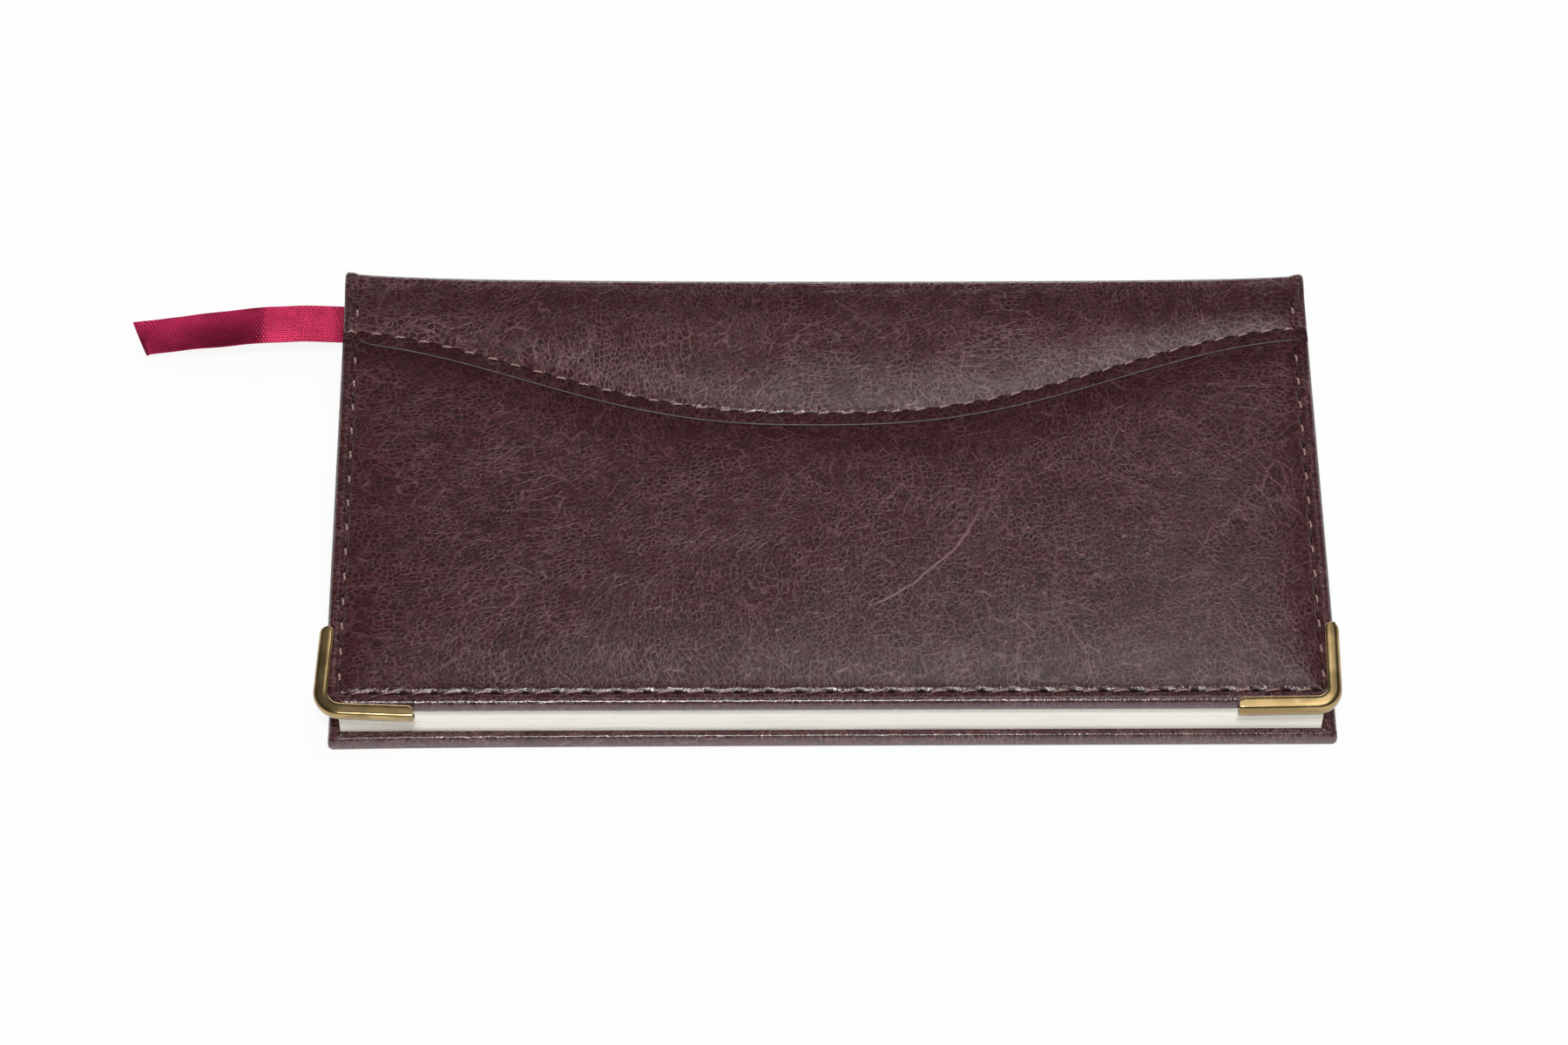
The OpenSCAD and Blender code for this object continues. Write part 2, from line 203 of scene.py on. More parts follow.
def add_mesh(name, points, faces, sharp=50):
    """An object from points in millimetres. It keeps them as the attribute rest."""
    mesh = bpy.data.meshes.new(name)
    points = np.asarray(points, float)
    mesh.from_pydata((points * MM).tolist(), [], faces)
    work = bmesh.new()
    work.from_mesh(mesh)
    bmesh.ops.recalc_face_normals(work, faces=work.faces)
    work.to_mesh(mesh)
    work.free()
    mesh.shade_smooth()
    mesh.set_sharp_from_angle(angle=math.radians(sharp))
    rest = mesh.attributes.new("rest", "FLOAT_VECTOR", "POINT")
    rest.data.foreach_set("vector", points.astype(np.float32).ravel())
    return add_object(name, mesh)


def ring_faces(count, size, start=0):
    """Faces of a closed solid through count rings of size points."""
    faces = []
    for i in range(count - 1):
        for j in range(size):
            a = start + i * size
            k = (j + 1) % size
            faces.append((a + j, a + k, a + size + k, a + size + j))
    last = start + (count - 1) * size
    faces.append(tuple(range(start, start + size)))
    faces.append(tuple(range(last, last + size)))
    return faces


def loft(name, xs, section, sharp=50):
    """A closed solid along X. section gives the outline, as (y, z), at each x."""
    rings = [np.column_stack([np.full(len(outline), x), outline])
             for x, outline in ((x, section(x)) for x in xs)]
    return add_mesh(name, np.vstack(rings), ring_faces(len(rings), len(rings[0])), sharp)


EDGE_ROWS = np.concatenate(
    [round_rows(COVER_EDGE, 15), [1.2, 1.5, 1.75, 2.0, 2.15, 2.3, 2.45, 2.6, 2.85, 3.2, 3.7, 4.4, 5.2]]
)
STATION_STEP = 0.6
WINDOW_SINK = 0.15
WINDOW_STEP = np.array([-0.05, 0.05])
WINDOW_SIDES = np.concatenate([WINDOW_TAIL + WINDOW_STEP, WINDOW_HEAD + WINDOW_STEP])


def stations(first, last):
    """Places along X, close together at both ends and at the sides of the pastedown."""
    middle = np.linspace(first + EDGE_ROWS[-1], last - EDGE_ROWS[-1],
                         int((last - first) / STATION_STEP))
    places = np.concatenate([first + EDGE_ROWS, middle, last - EDGE_ROWS, WINDOW_SIDES])
    return np.unique(np.round(places, 4))


def window_sink(x, y):
    """Depth by which the inner face drops behind the pastedown."""
    inside = (x > WINDOW_TAIL) & (x < WINDOW_HEAD) & (y > WINDOW_FORE)
    return np.where(inside, WINDOW_SINK, 0.0)


# Camera, from the photograph's vanishing lines

CAMERA_ELEVATION = math.radians(55)
CAMERA_YAW = math.radians(-1.23)
CAMERA_ROLL = math.radians(-0.84)
CAMERA_TARGET = Vector((-6.75, 1.64, 0))
CAMERA_DISTANCE = 814.7
CAMERA_LENS = 113.81
CAMERA_SENSOR = 36
CAMERA_CLIP = 0.01


def add_camera():
    rise, yaw, roll = CAMERA_ELEVATION, CAMERA_YAW, CAMERA_ROLL
    back = Vector((math.sin(yaw) * math.cos(rise), -math.cos(yaw) * math.cos(rise), math.sin(rise)))
    level = Vector((math.cos(yaw), math.sin(yaw), 0))
    upright = back.cross(level)
    right = math.cos(roll) * level - math.sin(roll) * upright
    up = math.sin(roll) * level + math.cos(roll) * upright
    data = bpy.data.cameras.new("camera")
    data.lens = CAMERA_LENS
    data.sensor_width = CAMERA_SENSOR
    data.clip_start = CAMERA_CLIP
    camera = add_object("camera", data)
    placed = Matrix((right, up, back)).transposed().to_4x4()
    placed.translation = (CAMERA_TARGET + back * CAMERA_DISTANCE) * MM
    camera.matrix_world = placed
    bpy.context.scene.camera = camera


add_camera()


# Materials


class Nodes:
    """A node tree, with short calls for its nodes and links."""

    def __init__(self, owner, surface):
        owner.use_nodes = True
        self.tree = owner.node_tree
        self.surface = self.tree.nodes[surface]

    def node(self, kind, inputs=None, **settings):
        made = self.tree.nodes.new("ShaderNode" + kind)
        for key, value in settings.items():
            setattr(made, key, value)
        for key, value in (inputs or {}).items():
            self.put(made.inputs[key], value)
        return made

    def put(self, socket, value):
        """Links a socket to another one, or gives it a number, a vector or a colour."""
        if isinstance(value, bpy.types.NodeSocket):
            self.tree.links.new(value, socket)
        else:
            socket.default_value = (*value, 1.0) if socket.type == "RGBA" else value

    def set(self, **inputs):
        for key, value in inputs.items():
            self.put(self.surface.inputs[key.replace("_", " ")], value)

    def vector(self, operation, a, b):
        return self.node("VectorMath", {0: a, 1: b}, operation=operation).outputs["Vector"]

    def math(self, operation, a, b=0.0, clamp=False):
        return self.node("Math", {0: a, 1: b}, operation=operation, use_clamp=clamp).outputs[0]

    def times(self, a, b, clamp=False):
        return self.math("MULTIPLY", a, b, clamp)

    def plus(self, a, b, clamp=False):
        return self.math("ADD", a, b, clamp)

    def minus(self, a, b, clamp=False):
        return self.math("SUBTRACT", a, b, clamp)

    def most(self, first, *others):
        for other in others:
            first = self.math("MAXIMUM", first, other)
        return first

    def noise(self, place, scale, detail=2.0, rough=0.5):
        return self.node("TexNoise", {"Vector": place, "Scale": scale, "Detail": detail,
                                      "Roughness": rough}).outputs["Fac"]

    def span(self, value, start, end, to_start=0.0, to_end=1.0, kind="SMOOTHSTEP"):
        """value from start to end, brought to the range to_start to to_end."""
        return self.node("MapRange", {"Value": value, "From Min": start, "From Max": end,
                                      "To Min": to_start, "To Max": to_end},
                         interpolation_type=kind).outputs["Result"]

    def mix(self, share, a, b):
        made = self.node("Mix", data_type="RGBA")
        for socket, value in zip((made.inputs[0], made.inputs[6], made.inputs[7]), (share, a, b)):
            self.put(socket, value)
        return made.outputs[2]

    def split(self, place):
        return self.node("SeparateXYZ", {0: place}).outputs


class Shader(Nodes):
    """The nodes of a new material."""

    def __init__(self, name):
        self.material = bpy.data.materials.new(name)
        super().__init__(self.material, "Principled BSDF")

    def attribute(self, name, output="Vector"):
        return self.node("Attribute", attribute_name=name).outputs[output]

    def rest(self):
        """Rest place in millimetres, which stays with the surface as it bends."""
        return self.attribute("rest")

    def local(self):
        """Place in the piece's own mesh, in millimetres."""
        place = self.node("TexCoord").outputs["Object"]
        return self.vector("MULTIPLY", place, (1 / MM, 1 / MM, 1 / MM))

    def upward(self):
        """How far the surface faces up or down in its own mesh: 1 where it is level."""
        facing = self.node("TexCoord").outputs["Normal"]
        return self.math("ABSOLUTE", self.split(facing)[2])

    def bump(self, height, strength, distance_mm):
        made = self.node("Bump", {"Height": height, "Strength": strength,
                                  "Distance": distance_mm * MM})
        self.set(Normal=made.outputs["Normal"])


# Leather grain: shares of its kinds of line, the painted light that makes the covers' upright edge faces
# paler, and the gloss of their worn, rounded edges
STROKE_SHARE = 0.45
CELL_SHARE = 0.56
WRINKLE_SHARE = 0.7
CROSSING_SHARE = 0.35
STRAND_SHARE = 0.55
EDGE_PAINTED_LIGHT = 0.2
EDGE_POLISH = 0.38
GROUND_GLOSS = 0.29
LINE_GLOSS = 0.65
PIT_COLOUR = (0.019, 0.007, 0.0075)
# Colour of the painted shade in the covers' folds and seams
PAINTED_SHADE_COLOUR = (0.020, 0.007, 0.0075)
# Turning of the grain from tail to head, for each millimetre
REGION_DRIFT = 0.0016

# A long crease across the panel: part of a ring, in millimetres
FOLD_CENTRE = (-15.0, 12.9, 0.0)
FOLD_RADIUS = 43.6
FOLD_FROM = -25.0
FOLD_START = 2.5
FOLD_TO = -1.0
FOLD_FADE = 9.0
FOLD_WIDTH = (0.1, 0.34)
FOLD_SHARE = 0.8


def leather(name, dark, mid, crease_and_highlight, fold=False):
    """Creased leatherette: pale strokes, broken cells, wrinkles and strands on a dark ground. The lines
    are pale partly in their own tone and partly as painted highlight on their ridges.
    """
    s = Shader(name)
    place = s.rest()

    def wander(scale, reach):
        cloud = s.node("TexNoise", {"Vector": place, "Scale": scale, "Detail": 1.0})
        moved = s.vector("SUBTRACT", cloud.outputs["Color"], (0.5, 0.5, 0.5))
        return s.vector("MULTIPLY", moved, (reach, reach, 0.0))

    bent = s.vector("ADD", s.vector("ADD", place, wander(0.05, 7.0)), wander(0.35, 0.9))

    def drawn(turn, stretch, shift):
        """Place drawn out along the angle turn, so that a pattern runs that way."""
        turned = s.node("VectorRotate", {"Vector": bent, "Angle": math.radians(turn)},
                        rotation_type="Z_AXIS").outputs["Vector"]
        longer = s.vector("MULTIPLY", turned, (1 / stretch, 1.0, 1.0))
        return s.vector("ADD", longer, (shift, 0.0, 0.0))

    def stroke(turn, stretch, scale, shift):
        return s.span(s.noise(drawn(turn, stretch, shift), scale, 1.0), 0.555, 0.68)

    def net(turn, stretch, scale, width, shift):
        edge = s.node("TexVoronoi", {"Vector": drawn(turn, stretch, shift), "Scale": scale},
                      feature="DISTANCE_TO_EDGE", voronoi_dimensions="2D").outputs["Distance"]
        return s.span(edge, 0.0, width, 1.0, 0.0)

    def patch(scale, start, end, least, shift):
        moved = s.vector("ADD", place, (shift, -shift, 0.0))
        return s.span(s.noise(moved, scale, 2.0, 0.6), start, end, least, 1.0)

    def strand(turn, shift):
        """Long thin lines, broken off at random."""
        return s.times(net(turn, 2.4, 0.16, 0.026, shift), patch(0.1, 0.52, 0.62, 0.0, shift))

    region = s.noise(s.vector("ADD", place, (40.0, 7.0, 0.0)), 0.04, 1.0)
    region = s.plus(region, s.times(s.split(place)[0], REGION_DRIFT))
    level = s.span(region, 0.5, 0.42)
    upright = s.span(region, 0.5, 0.58)
    slanted = s.minus(1.0, s.plus(level, upright), clamp=True)

    def flowing(pattern):
        """The pattern, level in some regions, slanted or upright in others."""
        parts = [s.times(pattern(turn), share)
                 for turn, share in ((-8, level), (-45, slanted), (-100, upright))]
        return s.plus(parts[0], s.plus(parts[1], parts[2]))

    strokes = s.times(flowing(lambda turn: stroke(turn, 3.0, 1.4, 0.0)),
                      patch(0.3, 0.34, 0.62, 0.5, 11.0))
    cells = s.times(flowing(lambda turn: net(turn, 1.5, 1.25, 0.19, 7.0)),
                    patch(0.25, 0.34, 0.6, 0.35, -7.0))
    wrinkles = s.times(flowing(lambda turn: net(turn, 3.2, 0.55, 0.09, 19.0)),
                       patch(0.18, 0.44, 0.58, 0.0, 29.0))
    crossing = s.times(flowing(lambda turn: net(turn + 60, 3.0, 0.5, 0.085, 47.0)),
                       patch(0.18, 0.48, 0.6, 0.0, -41.0))
    strands = s.most(strand(-20, 31.0), strand(-70, -23.0), strand(40, 57.0))
    upward = s.upward()
    level_face = s.span(upward, 0.3, 0.7, 0.5, 1.0)
    polished = s.span(upward, 0.9, 0.7, 0.0, EDGE_POLISH)
    # Painted light: faces that are not level are painted paler, towards the line colour
    painted_edge_light = s.span(level_face, 0.5, 1.0, EDGE_PAINTED_LIGHT, 0.0)
    speck = s.span(s.noise(s.vector("ADD", place, (9.0, 5.0, 0.0)), 1.8, 1.0), 0.34, 0.66)
    flat_lines = s.most(s.times(cells, CELL_SHARE), s.times(wrinkles, WRINKLE_SHARE),
                        s.times(crossing, CROSSING_SHARE), s.times(strands, STRAND_SHARE))
    lines = s.most(s.times(strokes, STROKE_SHARE), s.times(flat_lines, level_face))
    lines = s.times(lines, s.plus(s.times(speck, 0.6), 0.5), clamp=True)
    lines = s.plus(lines, painted_edge_light, clamp=True)
    if fold:
        flat = s.vector("MULTIPLY", bent, (1.0, 1.0, 0.0))
        reach = s.node("VectorMath", {0: flat, 1: FOLD_CENTRE}, operation="DISTANCE").outputs["Value"]
        off = s.math("ABSOLUTE", s.minus(reach, FOLD_RADIUS))
        x, y, _ = s.split(place)
        run = s.times(s.span(y, FOLD_FROM, FOLD_FROM + FOLD_START),
                      s.span(y, FOLD_TO, FOLD_TO - FOLD_FADE))
        run = s.times(run, s.math("GREATER_THAN", x, 0.0))
        lines = s.most(lines, s.times(s.span(off, *FOLD_WIDTH, FOLD_SHARE, 0.0), run))
    red = s.span(s.noise(s.vector("ADD", place, (3.0, 60.0, 0.0)), 0.55, 3.0, 0.6), 0.34, 0.66)
    pit = s.times(s.span(s.noise(place, 1.5, 1.0), 0.6, 0.3), 0.5)
    ground = s.mix(pit, s.mix(red, dark, mid), PIT_COLOUR)
    # Painted shade: points in the covers' folds and seams are darkened and lose gloss, where shade falls
    painted_shade = s.attribute("painted_shade", "Fac")
    # Lines take the crease colour: partly the creases' own paler tone, partly painted highlight on their
    # ridges
    base = s.mix(s.times(painted_shade, 0.5), s.mix(lines, ground, crease_and_highlight), PAINTED_SHADE_COLOUR)
    s.set(Base_Color=base, Roughness=s.span(s.noise(place, 0.6, 3.0), 0.3, 0.7, 0.2, 0.27))
    gloss = s.plus(s.plus(GROUND_GLOSS, polished), s.times(lines, LINE_GLOSS))
    s.set(Specular_IOR_Level=s.times(gloss, s.minus(1.0, painted_shade)))
    s.bump(s.minus(lines, pit), 0.55, 0.05)
    return s.material


def raw_edge():
    """Cut edge of the leatherette, coloured a flecked grey paler than the leather."""
    s = Shader("raw_edge")
    fleck = s.noise(s.rest(), 1.5, 3.0, 0.6)
    shade = s.mix(s.span(fleck, 0.3, 0.7), (0.045, 0.034, 0.034), (0.09, 0.073, 0.073))
    s.set(Base_Color=shade, Roughness=0.55)
    s.bump(fleck, 0.3, 0.05)
    return s.material


# Turn of the plies, in radians for each millimetre
PLY_RATE = 11.0


def thread():
    """Two-ply sewing thread: slanted plies, with painted highlight on their crowns and painted shade
    between them.
    """
    s = Shader("thread")
    x, y, z = s.split(s.rest())
    slant = s.plus(s.plus(x, y), s.times(z, 2.0))
    ply = s.math("SINE", s.times(slant, PLY_RATE))
    shade = s.span(ply, -1.0, 1.0)
    s.set(Base_Color=s.mix(shade, (0.16, 0.085, 0.075), (0.46, 0.31, 0.28)),
          Roughness=0.42)
    s.bump(ply, 0.4, 0.05)
    return s.material


def hole_painted_shade():
    """Near-black painted shade that stands in for the inside of a needle hole."""
    s = Shader("needle_hole_painted_shade")
    shade = s.span(s.noise(s.rest(), 2.0), 0.3, 0.7)
    s.set(Base_Color=s.mix(shade, (0.006, 0.003, 0.003), (0.016, 0.007, 0.007)),
          Roughness=0.85, Specular_IOR_Level=0.1)
    return s.material


def brass(name, tarnish):
    """Gilt plate, dulled in tarnish clouds, with painted shade down its outer side. tarnish is how far
    the clouds reach.
    """
    s = Shader(name)
    place = s.rest()
    cloud = s.noise(place, 0.22, 1.0)
    dull = s.times(s.span(cloud, 0.62 - 0.35 * tarnish, 0.8 - 0.3 * tarnish), 0.8)
    z = s.split(place)[2]
    # Painted shade: the outer side is darkened between its lower edge and its roll, for the dark band it
    # reflects
    side = s.times(s.span(z, FRONT_Z - 0.15, FRONT_Z + 0.35), s.span(z, HEIGHT - 0.5, HEIGHT - 1.1))
    tarnish_and_painted_shade = s.most(dull, s.times(side, 0.6))
    s.set(Base_Color=s.mix(tarnish_and_painted_shade, (0.52, 0.37, 0.172), (0.27, 0.187, 0.085)),
          Metallic=1.0, Roughness=0.23)
    return s.material


# Paper: shade of its darker fibres, and the ruled lines of its pages with their margins
FIBRE_SHADE = 0.91
RULE_PITCH = 6.5
RULE_WIDTH = (0.06, 0.13)
FORE_MARGIN = 5.0
FOLD_MARGIN = 10.0
TAIL_MARGIN = 8.0
HEAD_MARGIN = 16.0
INK = (0.36, 0.40, 0.47)
INK_SHARE = 0.55


def paper(name, tint, ruled=False, local=False):
    """Uncoated paper: leaf lines on its cut edges, and pale ruled lines on its pages."""
    s = Shader(name)
    place = s.local() if local else s.rest()
    leaves = s.noise(s.vector("MULTIPLY", place, (0.02, 0.02, 9.0)), 1.0, 3.0, 0.7)
    fibre = s.noise(place, 1.6, 3.0)
    cut = s.span(s.upward(), 0.5, 0.9, 0.12, 0.0)
    shade = s.plus(s.times(s.minus(leaves, 0.5), cut), s.times(fibre, 0.25))
    darker = tuple(FIBRE_SHADE * c for c in tint)
    base = s.mix(s.span(shade, -0.12, 0.2), darker, tint)
    if ruled:
        x, y, _ = s.split(place)
        line = s.span(s.math("PINGPONG", x, RULE_PITCH / 2), *RULE_WIDTH, 1.0, 0.0)
        fore = s.math("GREATER_THAN", y, PAGE_FORE + FORE_MARGIN)
        fold = s.math("LESS_THAN", y, PAPER_Y - FOLD_MARGIN)
        tail = s.math("GREATER_THAN", x, PAGE_TAIL + TAIL_MARGIN)
        head = s.math("LESS_THAN", x, PAGE_HEAD - HEAD_MARGIN)
        field = s.times(s.times(fore, fold), s.times(tail, head))
        face = s.math("GREATER_THAN", s.upward(), 0.9)
        base = s.mix(s.times(s.times(line, field), s.times(face, INK_SHARE)), base, INK)
    s.set(Base_Color=base, Roughness=0.85, Specular_IOR_Level=0.2)
    s.bump(shade, 0.04, 0.03)
    return s.material


def board_card():
    """Grey board: pressed fibres with darker flecks."""
    s = Shader("grey_board")
    fleck = s.span(s.noise(s.local(), 3.0, 3.0, 0.7), 0.52, 0.7)
    shade = s.mix(fleck, (0.36, 0.33, 0.28), (0.20, 0.18, 0.15))
    s.set(Base_Color=shade, Roughness=0.9)
    s.bump(fleck, 0.3, 0.05)
    return s.material


# Turn of the weave, in radians for each millimetre
CLOTH_RATE = 9.0


def cloth():
    """Open-weave lining on the backs of the sections."""
    s = Shader("lining_cloth")
    x, _, z = s.split(s.local())
    warp, weft = (s.math("SINE", s.times(place, CLOTH_RATE)) for place in (x, z))
    weave = s.times(warp, weft)
    shade = s.mix(s.span(weave, -0.6, 0.6), (0.62, 0.58, 0.49), (0.78, 0.75, 0.66))
    s.set(Base_Color=shade, Roughness=0.9)
    s.bump(weave, 0.4, 0.05)
    return s.material


# Length of one float
WEAVE_PITCH = 0.5


def satin():
    """Ribbon satin: fine slanted floats with a drawn-out sheen."""
    s = Shader("ribbon_satin")
    lay = s.attribute("lay")
    along, across, _ = s.split(lay)
    lengths = s.times(along, 2 * math.pi / WEAVE_PITCH)
    widths = s.times(across, math.pi / WEAVE_PITCH)
    row = s.math("SINE", s.plus(lengths, widths))
    pick = s.math("SINE", s.minus(lengths, s.times(widths, 1.3)))
    weave = s.plus(s.times(row, pick), s.times(row, 0.5))
    tone = s.plus(weave, s.times(s.noise(lay, 0.5, 2.0), 0.6))
    shade = s.mix(s.span(tone, -0.8, 1.1), (0.08, 0.0003, 0.001), (1.0, 0.07, 0.2))
    s.set(Base_Color=shade, Roughness=0.31, Metallic=0.96, Anisotropic=0.97)
    s.set(Specular_IOR_Level=1.0, Specular_Tint=(1.0, 0.4, 0.65))
    lengthwise = s.node("Tangent", direction_type="UV_MAP", uv_map="lay_map").outputs["Tangent"]
    s.set(Tangent=lengthwise, Anisotropic_Rotation=0.25)
    s.bump(weave, 0.35, 0.05)
    return s.material


PANEL_LEATHER = leather("panel_leather", (0.0315, 0.0115, 0.0118), (0.0485, 0.0115, 0.014),
                        (0.172, 0.074, 0.081), fold=True)
# The yoke, and the back cover with it, take the same leatherette in lighter colours: painted light for
# the yoke's puffed face
YOKE_LEATHER_PAINTED_LIGHTER = leather("yoke_leather", (0.040, 0.017, 0.0175), (0.061, 0.0175, 0.020),
                       (0.235, 0.122, 0.130))
RAW_EDGE = raw_edge()
THREAD = thread()
HOLE_PAINTED_SHADE = hole_painted_shade()
BRASS_TAIL = brass("brass_tail", 0.7)
BRASS_HEAD = brass("brass_head", 0.85)
CREAM = (0.93, 0.895, 0.81)
IVORY = (0.86, 0.83, 0.75)
PAGE_PAPER = paper("page_paper", CREAM, ruled=True)
LEAF_PAPER = paper("leaf_paper", CREAM, ruled=True, local=True)
END_PAPER = paper("end_paper", IVORY, local=True)
GREY_BOARD = board_card()
LINING = cloth()
SATIN = satin()


def finish_piece(piece, body, slot, *materials):
    """Gives a piece its materials and body. slot is not used."""
    for material in materials:
        piece.data.materials.append(material)
    if body:
        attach(piece, body)


# Ribbon marker, from its sewn end at the head to its cut end

# Slant of the cut end, and the length that it takes up. Height of the tip over the table.
RIBBON_SLANT = 3.8
RIBBON_SLANT_REACH = 3
RIBBON_RAISED = 0.65
# Stretch outside the pages over which it comes to bow, and its edges to ripple
RIBBON_FREE = (2, 14)
RIBBON_BOW = 0.35
RIBBON_WAVE = 0.05
RIBBON_WAVE_RATE = 5.5
# Thickness of its middle, as a share of its edges'
RIBBON_MIDDLE = 0.72
LAY_MAP_SIZE = 200
# Its route in the pages is the part's own. Each point outside says how far out it is, how far
# over, and its share of the way down.
RIBBON_Y = PAPER_Y - RIBBON_GUTTER - RIBBON_WIDTH / 2
RIBBON_Z = OPENING_Z - PAPER_GAP - RIBBON_THICK / 2
RIBBON_START = np.array([PAGE_HEAD - RIBBON_SEWN, RIBBON_Y, RIBBON_Z])
RIBBON_LEAVE = np.array([PAGE_TAIL - RIBBON_CLEAR, RIBBON_Y, RIBBON_Z])
RIBBON_DROP = RIBBON_Z - 1.5 * RIBBON_THICK - RIBBON_RAISED
RIBBON_STEPS = 14
RIBBON_OUT = [
    (4, 0, -0.033), (8, -0.05, -0.088), (12, -0.4, -0.149), (14, -0.55, -0.166), (16, -0.6, -0.138),
    (20, -0.4, 0), (24, -0.1, 0.175), (28, 0.51, 0.4), (32, 1.23, 0.69), (35, 1.79, 0.9), (36.9, 2.0, 1),
]


def smooth_route(points, steps):
    """Points of a smooth curve through the given ones."""
    points = [2 * points[0] - points[1], *points, 2 * points[-1] - points[-2]]
    route = []
    for a, b, c, d in zip(points, points[1:], points[2:], points[3:]):
        for t in np.arange(steps) / steps:
            route.append(b + 0.5 * t * (c - a + t * (2 * a - 5 * b + 4 * c - d
                                                     + t * (3 * (b - c) + d - a))))
    return np.array([*route, points[-2]])


def add_ribbon():
    inner = [RIBBON_START + (RIBBON_LEAVE - RIBBON_START) * i / RIBBON_STEPS
             for i in range(RIBBON_STEPS + 1)]
    outer = [RIBBON_LEAVE + np.array([-out, over, -share * RIBBON_DROP])
             for out, over, share in RIBBON_OUT]
    route = smooth_route(inner + outer, 6)
    along = np.gradient(route, axis=0)
    along /= np.linalg.norm(along, axis=1)[:, None]
    left = np.column_stack([-along[:, 1], along[:, 0], np.zeros(len(route))])
    left /= np.linalg.norm(left, axis=1)[:, None]
    up = np.cross(along, left)
    length = np.concatenate([[0], np.cumsum(np.linalg.norm(np.diff(route, axis=0), axis=1))])
    places = np.linspace(-1, 1, 15)
    points = []
    lay = []
    for i, centre in enumerate(route):
        free = ease(*RIBBON_FREE, RIBBON_LEAVE[0] - centre[0])
        slant = RIBBON_SLANT * ease(length[-1] - RIBBON_SLANT_REACH, length[-1], length[i])
        ripple = RIBBON_WAVE * free * math.sin(RIBBON_WAVE_RATE * length[i] / RIBBON_WIDTH)
        for side, order in ((1, places), (-1, places[::-1])):
            for u in order:
                edge = ease(0.8, 1.0, abs(u))
                thick = 0.5 * RIBBON_THICK * (RIBBON_MIDDLE + (1 - RIBBON_MIDDLE) * edge)
                lift = RIBBON_BOW * free * (0.5 - u * u) + side * thick + ripple * edge
                points.append(centre + left[i] * u * RIBBON_WIDTH / 2 + up[i] * lift
                              - along[i] * slant * u / 2)
                lay.append((length[i], u * RIBBON_WIDTH / 2, side))
    ribbon = add_mesh("ribbon", points, ring_faces(len(route), 2 * len(places)))
    cloth_lay = ribbon.data.attributes.new("lay", "FLOAT_VECTOR", "POINT")
    cloth_lay.data.foreach_set("vector", np.array(lay, np.float32).ravel())
    lay_map = ribbon.data.uv_layers.new(name="lay_map")
    for loop, spot in zip(ribbon.data.loops, lay_map.data):
        spot.uv = [place / LAY_MAP_SIZE for place in lay[loop.vertex_index][:2]]
    finish_piece(ribbon, "back", "ribbon", SATIN)
    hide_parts("ribbon_marker")


add_ribbon()


# Faces of the covers

# Padding: heights of the puffed faces, and distances over which they rise
PANEL_LOW = 0.05
PANEL_PUFF = 0.52
PUFF_REACH = 3.2
TUCK_REACH = 5.0
PANEL_DOME = 0.4
PANEL_SWELL = 0.05
YOKE_LIP = 0.30
YOKE_LIP_FALL = 0.28
YOKE_PUFF = 0.22
YOKE_CREST = 0.047
YOKE_SWELL = 0.11
# Edge seams: their pulled-in valley, deeper at the needle hole after each stitch
VALLEY = 0.24
VALLEY_WIDTH = 0.5
VALLEY_END = 0.5
HOLE_PULL = 0.7
HOLE_AFTER = 2.0
# Spine edge: sag of its middle, ears at its ends, lean back and up towards the tail
SPINE_SAG = 0.6
EAR_LIFT = 0.4
LEAN_LIFT = 0.35
LEAN_BACK = 0.68
LEAN_REACH = 35.0


def side_room(x):
    """Distance inside the nearer side seam."""
    return np.minimum(x - SEAM_TAIL, SEAM_HEAD - x)


def stitch_pull(place, start, pitch):
    """1 at the needle holes along a seam, 0 between them."""
    return (0.5 + 0.5 * np.cos(2 * math.pi * (place - start) / pitch)) ** 2


def seam_valley(x, y):
    """Depth of the edge seams' pulled-in valley."""
    near = hump(y - SEAM_NEAR, VALLEY_WIDTH)
    near = near * ease(-VALLEY_END, VALLEY_END, side_room(x))
    near = near * (1 + HOLE_PULL * stitch_pull(x, NEAR_START + HOLE_AFTER, EDGE_PITCH))
    side = np.maximum(hump(x - SEAM_TAIL, VALLEY_WIDTH), hump(x - SEAM_HEAD, VALLEY_WIDTH))
    side = side * ease(-VALLEY_END, VALLEY_END, y - SEAM_NEAR)
    side = side * (1 + HOLE_PULL * stitch_pull(y, SIDE_START + HOLE_AFTER, EDGE_PITCH))
    return VALLEY * np.maximum(near, side)


def panel_top(x, y):
    """Height of the lower panel's face."""
    inside = np.maximum(np.minimum(y - SEAM_NEAR, side_room(x)), 0)
    puff = rise(inside, PUFF_REACH) * (1 - hump(np.maximum(yoke_edge(x) - y, 0), TUCK_REACH))
    back = np.clip((y - SEAM_NEAR) / (yoke_edge(x) - SEAM_NEAR), 0, 1)
    dome = PANEL_DOME * ease(0, 0.15, back) * np.sin(math.pi * back**0.7)
    padded = PANEL_PUFF + dome + PANEL_SWELL * swell(x + 30, y)
    return PANEL_Z - PANEL_LOW + puff * padded - seam_valley(x, y)


def spine_settle(x):
    """How far the spine edge has settled: 0 at the ends, 1 at the middle."""
    share = 1 - np.clip(end_distance(x) * 2 / (HEAD_X - TAIL_X), 0, 1)
    return 0.6 * (1 - share**10) + 0.4 * (1 - share**2.2)


def spine_lean(x):
    """The spine edge stands further back and higher towards the tail: 1 there, fading along it."""
    return np.exp(-(x - TAIL_X) / LEAN_REACH)


def spine_ear(x):
    """1 on the doubled edge outside the side seams, 0 inside them."""
    return 1 - ease(SEAM_INSET - 0.9, SEAM_INSET + 0.2, end_distance(x))


def edge_level(x):
    """Height of the yoke where it rolls over into the spine."""
    raised = EAR_LIFT * spine_ear(x) + LEAN_LIFT * spine_lean(x)
    return HEIGHT + 0.1 - SPINE_SAG * spine_settle(x) + raised


